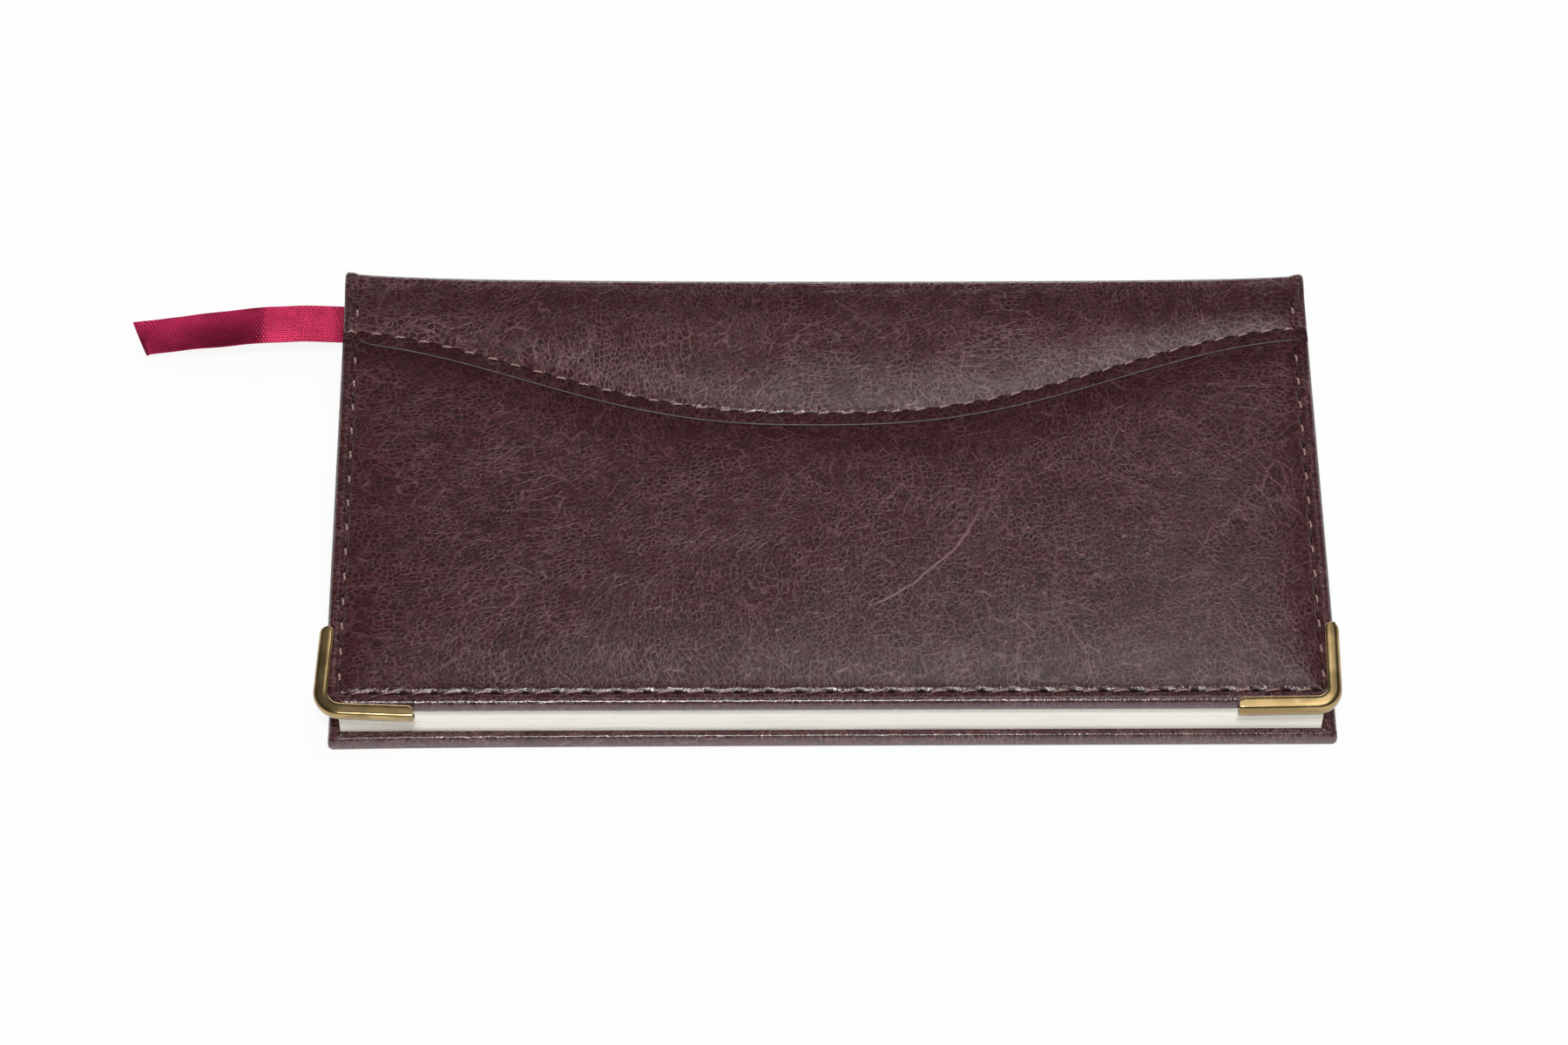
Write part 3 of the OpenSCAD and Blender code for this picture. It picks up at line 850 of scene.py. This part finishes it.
def yoke_top(x, y):
    """Height of the yoke's face."""
    from_edge = (y - yoke_edge(x)) / arc_stretch(x)
    past_seam = np.maximum(from_edge - lap(x), 0)
    strip = YOKE_LIP - YOKE_LIP_FALL * ease(0.2, lap(x) - 0.1, from_edge)
    room = (BOARD_Y - 0.5 - arc_y(x)) / arc_stretch(x)
    side = np.maximum(side_room(x), 0)
    crest = YOKE_CREST * room * rise(side, 4.0) * rise(past_seam, 0.3 * room)
    crest = crest * (1 - 0.8 * ease(0.35, 1.0, past_seam / room))
    uneven = YOKE_SWELL * swell(1.3 * x + 9, 1.2 * y) * ease(1, 6, past_seam) * ease(0, 5, side)
    puff = YOKE_PUFF * rise(past_seam, 1.0) + crest + uneven
    sewn = VALLEY * 0.5 * hump(from_edge - lap(x), 0.45)
    face = PANEL_Z + strip + puff - sewn - seam_valley(x, y)
    roll = ease(BOARD_Y - 2.0, BOARD_Y + 1.0, y)
    return face * (1 - roll) + (edge_level(x) - 0.5 * seam_valley(x, y)) * roll


def edge_fall(ends, y, near, radius):
    """Fall of a cover's face towards its near edge and its ends."""
    fall = round_drop(ends, radius) + round_drop(y - near, radius)
    return np.minimum(fall, radius)


PANEL_EDGE = 1.1
INNER_EDGE = 0.5
INNER_ROWS = np.concatenate([round_rows(INNER_EDGE, 30), [0.8, 1.4, 2.2, 4]])


def panel_section(x):
    """Outline of the lower front panel at x: its face, then its inner side."""
    ends = end_distance(x)
    near = FORE_Y + round_drop(ends, FRONT_CORNER)
    cut = yoke_edge(x)
    far = arc_y(x) + TONGUE * arc_stretch(x)
    field = np.linspace(near + EDGE_ROWS[-1], cut - 3.4, 64)[1:-1]
    seat = cut - np.array([3.4, 2.7, 2.0, 1.4, 0.9, 0.45, 0.1, -0.4, -1.2])
    y = np.concatenate([near + EDGE_ROWS, field, seat, [far]])
    top = np.column_stack([y, panel_top(x, y) - edge_fall(ends, y, near, PANEL_EDGE)])
    y = np.concatenate([near + INNER_ROWS, WINDOW_FORE + WINDOW_STEP, [0.0, far]])
    z = FRONT_Z + edge_fall(ends, y, near, INNER_EDGE) + window_sink(x, y)
    return np.vstack([top, np.column_stack([y, z])[::-1]])


SPLIT_Z = 3.2
SPINE_CORNER = 0.6
LIP_ROWS = (0, 1)
LIP_FALL = (0.14, 0.05)
RAW_EDGE_HALF = 77
ROLL = np.radians(np.linspace(90, 0, 11))


def arc_points(y, z, radius, turns):
    """Points, as (y, z), of an arc about a centre."""
    return np.column_stack([y + radius * np.cos(turns), z + radius * np.sin(turns)])


def spine_roll(x):
    """Radius of the roll at the spine edge, and the place of the spine's face."""
    settle = spine_settle(x)
    corner = round_drop(end_distance(x), SPINE_CORNER)
    face = SPINE_Y - 0.3 * settle + LEAN_BACK * spine_lean(x) - corner
    return 1.0 + 0.8 * settle, face


def yoke_section(x):
    """Outline of the yoke and spine at x: outside from the cut edge, then the inside back."""
    cut = yoke_edge(x)
    stretch = arc_stretch(x)
    ends = end_distance(x)
    fall = round_drop(ends, COVER_EDGE)
    radius, face = spine_roll(x)
    level = edge_level(x) - fall
    lip = np.array([0, 0.05, 0.16, 0.4, 0.8, 1.2, 1.6, 1.95, 2.2, 2.4, 2.6, 2.8, 3.0, 3.25, 3.6,
                    4.1, 4.8, 5.8])
    y = np.concatenate([cut + lip * stretch,
                        np.linspace(cut + 7 * stretch, face - radius, 30)[:-1]])
    z = yoke_top(x, y) - fall
    z[:2] -= LIP_FALL
    roll = arc_points(face - radius, level - radius, radius, ROLL)
    wall = np.column_stack([np.full(10, face), np.linspace(level - radius, SPLIT_Z, 11)[1:]])
    inner = face - MAIN_LEATHER + round_drop(ends, SPINE_CORNER)
    inner_radius = max(radius - MAIN_LEATHER, 0.3)
    under = HEIGHT - 0.65 - MAIN_LEATHER
    back = np.column_stack([np.full(6, inner), np.linspace(SPLIT_Z, under - inner_radius, 6)])
    turn = arc_points(inner - inner_radius, under - inner_radius, inner_radius, ROLL[::-2])[1:]
    far = arc_y(x) + TONGUE * stretch
    floor = FRONT_Z + round_drop(ends, INNER_EDGE)
    sink = window_sink(x, BOARD_Y - 1)
    inside = [(BOARD_Y + 0.02, under), (BOARD_Y + 0.02, floor + sink), (far, floor + sink),
              (far, panel_top(x, far) - fall), (cut + 0.3, panel_top(x, cut) - fall - 0.02)]
    return np.vstack([np.column_stack([y, z]), roll, wall, back, turn, inside])


BACK_CORNER = 0.6
BACK_ROLL = 1.6
BACK_NEAR_OVER = 0.35
BACK_TAIL_OVER = 0.4
BACK_HEAD_OVER = 0.6
# Crease of the turned-in corners, and the low bead along the near edge
MITRE_DEPTH = 0.3
MITRE_WIDTH = 0.3
MITRE_REACH = (12, 9)
BEAD_HEIGHT = 0.3
BEAD_PLACE = 0.72
BEAD_WIDTH = 0.38


def back_section(x):
    """Outline of the back cover at x: its inner side, then its outer side from the spine."""
    ends = np.minimum(x - TAIL_X, HEAD_X + BACK_HEAD_OVER - x)
    edge = FORE_Y - BACK_NEAR_OVER - BACK_TAIL_OVER * math.exp(-(x - TAIL_X) / 20.0)
    near = edge + round_drop(ends, BACK_CORNER)
    _, face = spine_roll(x)
    y = np.concatenate([near + EDGE_ROWS, WINDOW_FORE + WINDOW_STEP, [0, BOARD_Y]])
    fold = np.abs((y - edge) - ends) / math.sqrt(2)
    mitre = MITRE_DEPTH * hump(fold, MITRE_WIDTH) * ease(*MITRE_REACH, ends)
    bead = BEAD_HEIGHT * hump(y - near - BEAD_PLACE, BEAD_WIDTH)
    bead = bead * ease(PAGE_FORE - 0.1, PAGE_FORE - 0.6, y)
    z = BACK_TOP - edge_fall(ends, y, near, COVER_EDGE) - window_sink(x, y) - mitre + bead
    inner = np.column_stack([y, z])
    sheet = face - MAIN_LEATHER + round_drop(ends, SPINE_CORNER)
    small = BACK_ROLL - MAIN_LEATHER
    turn = arc_points(sheet - small, MAIN_LEATHER + small, small, -ROLL[::2])
    joint = np.vstack([[(BOARD_Y, MAIN_LEATHER)], turn, [(sheet, SPLIT_Z), (face, SPLIT_Z)]])
    low_fall = round_drop(ends, COVER_EDGE)
    roll = arc_points(face - BACK_ROLL, low_fall + BACK_ROLL, BACK_ROLL, -ROLL[::-1])
    y = np.concatenate([np.linspace(face - BACK_ROLL, near + EDGE_ROWS[-1], 60)[1:-1],
                        (near + EDGE_ROWS)[::-1]])
    outer = np.column_stack([y, edge_fall(ends, y, near, COVER_EDGE) + seam_valley(x, y)])
    return np.vstack([inner, joint, roll, outer])


def add_painted_shade(piece, depth):
    """Keeps on each point, from 0 to 1, how much painted shade it takes where it lies in a fold of the
    cover.
    """
    x, y, _ = np.array([point.co for point in piece.data.vertices]).T / MM
    kept = piece.data.attributes.new("painted_shade", "FLOAT", "POINT")
    kept.data.foreach_set("value", depth(x, y).astype(np.float32))


def panel_painted_shade(x, y):
    """Painted shade: the panel darkens towards the yoke's cut edge, and darkens and dulls along the near
    seam.
    """
    seam = hump(y - SEAM_NEAR - 0.6, 0.8)
    return np.maximum(0.75 * ease(9, 0, yoke_edge(x) - y), 0.5 * seam)


def yoke_painted_shade(x, y):
    """Painted shade on the strip below the stitches, and on the hollow before the spine's roll."""
    strip = ease(1.1, 0.9, (y - yoke_edge(x)) / arc_stretch(x) / lap(x))
    hollow = ease(BOARD_Y - 9, BOARD_Y - 3, y) * ease(BOARD_Y + 1.5, BOARD_Y - 0.5, y)
    return np.maximum(strip, 0.7 * hollow)


def add_covers():
    panel = loft("front_panel_skin", stations(TAIL_X, HEAD_X), panel_section)
    add_painted_shade(panel, panel_painted_shade)
    finish_piece(panel, "front_cover", "panel_leatherette", PANEL_LEATHER)
    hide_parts("front_panel", "front_padding")

    yoke = loft("yoke_spine_skin", stations(TAIL_X + 0.05, HEAD_X - 0.1), yoke_section)
    add_painted_shade(yoke, yoke_painted_shade)
    finish_piece(yoke, None, "yoke_leatherette", YOKE_LEATHER_PAINTED_LIGHTER, RAW_EDGE)
    ring = len(yoke_section(MID_X))
    for number, polygon in enumerate(yoke.data.polygons):
        cut_face = abs(polygon.center.x / MM - MID_X) < RAW_EDGE_HALF
        polygon.material_index = int(number % ring in LIP_ROWS and cut_face)
    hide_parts("yoke_panel", "spine_cover")
    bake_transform(yoke)

    back = loft("back_skin", stations(TAIL_X, HEAD_X + BACK_HEAD_OVER), back_section)
    finish_piece(back, None, "yoke_leatherette", YOKE_LEATHER_PAINTED_LIGHTER)
    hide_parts("back_panel", "back_padding")
    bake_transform(back)


add_covers()


# Stitching

# Half lengths of a thread and of its needle hole, half width of the hole, radius of the thread
NEAR_STITCH = (1.35, 0.95, 0.3, 0.13)
TAIL_STITCH = (0.75, 0.7, 0.15, 0.19)
HEAD_STITCH = (0.75, 1.2, 0.15, 0.19)
ARC_STITCH = (0.95, 0.95, 0.22, 0.16)
# Slant of a thread to its seam
NEAR_SLANT = math.radians(9)
SIDE_SLANT = math.radians(8)
ARC_SLANT = math.radians(7)
# Distance along a side seam that is left free at the yoke's cut edge
STEP_CLEAR = 2


class Seam:
    """Threads and needle holes on one face, gathered into one piece. way is -1 on a face that
    looks down, and proud is how far the threads stand out."""

    def __init__(self, face, way=1, proud=0.16):
        self.face = face
        self.way = way
        self.proud = proud
        self.points = []
        self.faces = []
        self.kinds = []

    def add(self, rings, kind):
        made = ring_faces(len(rings), len(rings[0]), len(self.points))
        self.points += [p for ring in rings for p in ring]
        self.faces += made
        self.kinds += [kind] * len(made)

    def stitch(self, place, angle, slant, thread_half, hole_half, hole_width, radius):
        """One thread along angle, and the needle hole after it."""
        run = np.array([math.cos(angle + slant), math.sin(angle + slant)])
        over = np.array([-run[1], run[0]])
        turns = np.linspace(0, 2 * math.pi, 9)[:-1]
        rings = []
        for t in np.linspace(-1, 1, 11):
            at = np.array(place) + run * t * thread_half
            z = self.face(at[0], at[1])
            lift = self.proud * (1 - t * t) + 0.06 - 0.3 * ease(0.7, 1, abs(t))
            size = radius * (1 - 0.35 * t**4)
            rings.append([
                (*(at + over * size * math.cos(a)), z + self.way * (lift + 0.8 * size * math.sin(a)))
                for a in turns
            ])
        self.add(rings, 0)
        # The needle hole: a low patch on the face, coloured near black as painted shade
        run = np.array([math.cos(angle), math.sin(angle)])
        over = np.array([-run[1], run[0]])
        centre = np.array(place) + run * (thread_half + 0.75 * hole_half) + over * 0.05
        rings = []
        for share in (1.0, 0.8, 0.45, 0.12):
            ring = []
            for a in np.linspace(0, 2 * math.pi, 15)[:-1]:
                reach = run * hole_half * math.cos(a) + over * hole_width * math.sin(a)
                at = centre + share * reach
                z = self.face(at[0], at[1])
                ring.append((*at, z + self.way * (0.10 * (1 - share**2) - 0.03)))
            rings.append(ring)
        self.add(rings, 1)

    def finish(self, name, body, *nodes):
        piece = add_mesh(name, self.points, self.faces)
        finish_piece(piece, body, "thread", THREAD, HOLE_PAINTED_SHADE)
        for polygon, kind in zip(piece.data.polygons, self.kinds):
            polygon.material_index = kind
        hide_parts(*nodes)


def front_face(x, y):
    """Height of the closed front cover's face, on the panel or on the yoke."""
    return float(yoke_top(x, y) if y > yoke_edge(x) else panel_top(x, y))


def back_face(x, y):
    return float(seam_valley(x, y))


def edge_seams(seam, stepped):
    """The near seam and both side seams. A stepped one skips the yoke's cut edge."""
    for i in range(NEAR_STITCHES):
        seam.stitch((NEAR_START + i * EDGE_PITCH, SEAM_NEAR), 0, NEAR_SLANT, *NEAR_STITCH)
    for x, sizes in ((SEAM_TAIL, TAIL_STITCH), (SEAM_HEAD, HEAD_STITCH)):
        for i in range(SIDE_STITCHES):
            y = SIDE_START + i * EDGE_PITCH
            if stepped and abs(y - yoke_edge(x)) < STEP_CLEAR:
                continue
            seam.stitch((x, y), math.pi / 2, SIDE_SLANT, *sizes)


def add_stitching():
    front = Seam(front_face)
    edge_seams(front, True)
    front.finish("front_thread", "front_cover", "front_stitching")

    arc = Seam(front_face)
    x = TAIL_X + 1.6
    while x < HEAD_X - 1.4:
        arc.stitch((x, arc_y(x)), math.atan(arc_slope(x)), ARC_SLANT, *ARC_STITCH)
        x += ARC_PITCH / arc_stretch(x)
    arc.finish("yoke_thread", "front_cover", "yoke_stitching")

    back = Seam(back_face, -1, 0.0)
    edge_seams(back, False)
    back.finish("back_thread", "back", "back_stitching")


add_stitching()


# Brass corners

# Rounding of the arms' ends, seat and height of the upper lip, fall of its top, start of its roll
ARM_ROUND = 1.1
NEAR_ROUNDING = (0.8, 0.15)
SIDE_ROUNDING = (0.6, 0.6)
LIP_SEAT = 0.08
CORNER_LIFT = 0.1
TOP_FALL = 0.03
ROLL_FROM = 1.5


def corner_outline(stand, end, rounding, depth, roll, wall, tuck):
    """Outline of the rolled channel, as (outward, up). end is the distance to the arm's end, and
    rounding how far the lip and the outer side draw in there. depth is the width of its top, roll
    the radius of its outer edge. Below a straight wall it curves in by tuck."""
    nose = rounding[0] * round_drop(end, ARM_ROUND)
    lip = stand - depth + nose
    stand = stand - min(rounding[1] * round_drop(end, ARM_ROUND), stand - 0.1)
    roll = min(roll, 0.5 * (stand - lip))
    floor = FRONT_Z - CORNER_SHEET
    seat = PANEL_Z + LIP_SEAT
    top = HEIGHT + CORNER_LIFT
    hub = top - TOP_FALL - roll
    fall = hub - wall - floor
    inner = max(roll - CORNER_SHEET, 0.05)
    points = [(lip, seat), (lip + 0.06, seat + 0.14), (lip + 0.18, top - 0.09), (lip + 0.4, top - 0.02)]
    flat = stand - roll - lip - 0.4
    points += [(lip + 0.4 + share * flat, top - TOP_FALL * share) for share in (0.35, 0.6, 0.8)]
    points += [(stand - roll + roll * math.sin(a), hub + roll * math.cos(a))
               for a in np.radians(np.linspace(ROLL_FROM, 90, 11))]
    curve = np.radians(np.linspace(0, 90, 9))
    points += [(stand - tuck + tuck * math.cos(a), floor + fall * (1 - math.sin(a))) for a in curve]
    under = -LOWER_LIP - 0.8 + nose
    points += [(under, floor), (under, FRONT_Z - 0.02)]
    points += [(stand - tuck + (tuck - CORNER_SHEET) * math.cos(a),
                floor + fall - (fall - CORNER_SHEET + 0.02) * math.sin(a)) for a in curve[::-1]]
    points += [(stand - roll + inner * math.sin(a), hub + inner * math.cos(a))
               for a in np.radians(np.linspace(90, ROLL_FROM, 5))]
    return points + [(lip + 0.35, top - 0.43), (lip + 0.3, seat - 0.03)]


def add_corner(name, node, corner_x, way, material, shift, turn, cut, splay, shape):
    """A channel swept round one near corner of the front cover. way is +1 towards the head.
    shift and turn, in degrees, set it a little out of true on its corner. cut shortens the arm
    on the near edge and the arm on the side, splay bends the near arm outwards."""
    stand = corner_x - low(node)[0] if way > 0 else high(node)[0] - corner_x
    r = FRONT_CORNER
    ends = np.concatenate([round_rows(ARM_ROUND, 15), [2, 4, 7, 10]])
    near_arm, side_arm = (CORNER_ARM - short - ends for short in cut)
    path = [((s, 0), (0, -1), e, NEAR_ROUNDING) for s, e in zip(near_arm, ends)]
    for a in np.radians(np.linspace(270, 180, 21)):
        out = (math.cos(a), math.sin(a))
        path.append(((r + r * out[0], r + r * out[1]), out, CORNER_ARM, (0, 0)))
    path += [((0, s), (-1, 0), e, SIDE_ROUNDING) for s, e in zip(side_arm[::-1], ends[::-1])]
    centre = np.array([corner_x + way * r, FORE_Y + r])
    turning = np.array(Matrix.Rotation(math.radians(turn), 2))
    rings = []
    for (px, py), (nx, ny), end, rounding in path:
        for n, z in corner_outline(stand, end, rounding, *shape):
            at = np.array([corner_x + way * (px + nx * n), FORE_Y + py + ny * n - splay * px])
            rings.append((*(centre + turning @ (at - centre) + shift), z))
    piece = add_mesh(name, rings, ring_faces(len(path), len(rings) // len(path)), sharp=60)
    finish_piece(piece, "front_cover", "brass_plate", material)
    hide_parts(node)


add_corner("brass_tail_corner", "corner_tail", TAIL_X, 1, BRASS_TAIL, (-0.5, -0.85), -2.8,
           (0.55, 0.1), 0.0, (2.3, 0.65, 0.0, 2.0))
add_corner("brass_head_corner", "corner_head", HEAD_X, -1, BRASS_HEAD, (0.0, -0.7), -1.6,
           (-0.5, -0.2), 0.045, (2.4, 0.9, 0.5, 1.1))


# Pages

LEAVES = 6
LEAF_STEP = 0.02
LEAF_WAVE = 0.004
LEAF_WAVE_RATE = 0.06
LEAF_SLIT = 0.004
FIRST_SEED = 40


def add_section(node, body, seed):
    """A sewn section whose leaves stand a little unevenly at the fore-edge."""
    draw = random.Random(seed)
    (tail, fore, floor), (head, fold, top) = low(node), high(node)
    steps = [draw.uniform(0.0, LEAF_STEP) for _ in range(LEAVES)]
    waves = [draw.uniform(0, 2 * math.pi) for _ in range(LEAVES)]
    levels = np.linspace(floor, top, LEAVES + 1)
    bed = RIBBON_Y - RIBBON_WIDTH / 2 - RIBBON_ROOM
    depth = RIBBON_THICK + PAPER_GAP + RIBBON_ROOM

    def outline(x):
        points = []
        for k in range(LEAVES):
            out = fore + steps[k] + LEAF_WAVE * math.sin(LEAF_WAVE_RATE * x + waves[k])
            points += [(out, levels[k] + LEAF_SLIT), (out, levels[k + 1] - LEAF_SLIT)]
        if node == "section_4":
            points += [(bed, top), (bed, top - depth), (fold, top - depth)]
        else:
            points += [(fold - SECTION_FOLD, top), (fold, top - SECTION_FOLD)]
        return points + [(fold, floor + SECTION_FOLD), (fold - SECTION_FOLD, floor)]

    piece = loft(node + "_leaves", np.linspace(tail, head, 41), lambda x: np.array(outline(x)), 30)
    finish_piece(piece, body, "paper", PAGE_PAPER)
    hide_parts(node)


PAGE_BODIES = ["pages_a", "pages_b", "pages_c", "back", "back", "back", "back", "back"]
for number, body in enumerate(PAGE_BODIES):
    add_section("section_%d" % (number + 1), body, FIRST_SEED + number)


# Finish of the CAD nodes that stay

NODE_FINISH = {
    "opening_leaf": LEAF_PAPER, "front_flyleaf": END_PAPER, "back_flyleaf": END_PAPER,
    "front_pastedown": END_PAPER, "back_pastedown": END_PAPER, "front_board": GREY_BOARD,
    "back_board": GREY_BOARD, "spine_card_strip": GREY_BOARD, "upper_lining": LINING,
    "lower_lining": LINING,
}
for node, material in NODE_FINISH.items():
    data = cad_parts[node].data
    data.materials.clear()
    data.materials.append(material)


# Floor, light and background

FLOOR_SIZE = 3.0
FLOOR_LEVEL = -0.0002
BACKDROP_SHARE = 0.9
# Brightness of the ceiling and of the dark room, and the directions between which each sets in
CEILING = 0.09
CEILING_SPAN = (0.12, 0.34)
DARK_ROOM = 0.3
DARK_SPAN = (0.15, -0.35)
DARK_RISE = (0.12, 0.24)


def seen_white(s, lit):
    """Mixes white for rays that show the background, and the lit shader for the rest."""
    rays = s.node("LightPath").outputs
    shown = s.most(rays["Is Camera Ray"], rays["Is Glossy Ray"], rays["Is Transmission Ray"])
    white = s.node("Emission", {"Color": (1, 1, 1), "Strength": 1.0})
    share = s.times(shown, BACKDROP_SHARE)
    return s.node("MixShader", {0: share, 1: lit, 2: white.outputs[0]}).outputs[0]


def add_floor():
    mesh = bpy.data.meshes.new("floor")
    square = ((-1, -1), (1, -1), (1, 1), (-1, 1))
    corners = [(x * FLOOR_SIZE, y * FLOOR_SIZE, FLOOR_LEVEL) for x, y in square]
    mesh.from_pydata(corners, [], [(0, 1, 2, 3)])
    s = Shader("floor")
    s.set(Base_Color=(0.9, 0.9, 0.9), Roughness=0.9)
    out = s.tree.nodes["Material Output"]
    s.put(out.inputs["Surface"], seen_white(s, s.surface.outputs[0]))
    mesh.materials.append(s.material)
    add_object("floor", mesh)


def add_world():
    """A white backdrop low down at the back, a dim ceiling, and a dark room in front."""
    world = bpy.data.worlds.new("world")
    bpy.context.scene.world = world
    s = Nodes(world, "Background")
    way = s.split(s.node("TexCoord").outputs["Generated"])
    ceiling = s.span(way["Z"], *CEILING_SPAN, 1.0, CEILING, "LINEAR")
    behind = s.span(way["Y"], *DARK_SPAN, kind="LINEAR")
    above = s.span(way["Z"], *DARK_RISE, kind="LINEAR")
    room = s.span(s.times(behind, above), 0.0, 1.0, 1.0, DARK_ROOM, "LINEAR")
    s.set(Color=(1, 1, 1), Strength=s.times(ceiling, room))


def add_lamp(name, place, size, power):
    data = bpy.data.lights.new(name, "AREA")
    data.shape = "RECTANGLE"
    data.size, data.size_y = size
    data.energy = power
    lamp = add_object(name, data)
    lamp.location = place
    lamp.rotation_euler = (-Vector(place)).to_track_quat("-Z", "Y").to_euler()


add_floor()
add_world()
add_lamp("softbox", (0.23, 0.1, 0.95), (0.98, 0.36), 2.8)
add_lamp("front_lamp", (-0.03, -0.44, 0.9), (0.16, 0.115), 6.8)
add_lamp("front_fill", (0.0, -0.8, 0.2), (1.4, 0.25), 0.6)
add_lamp("back_lamp", (0.0, 0.9, 0.13), (1.2, 0.12), 2.4)
bpy.context.scene.view_settings.view_transform = "Standard"
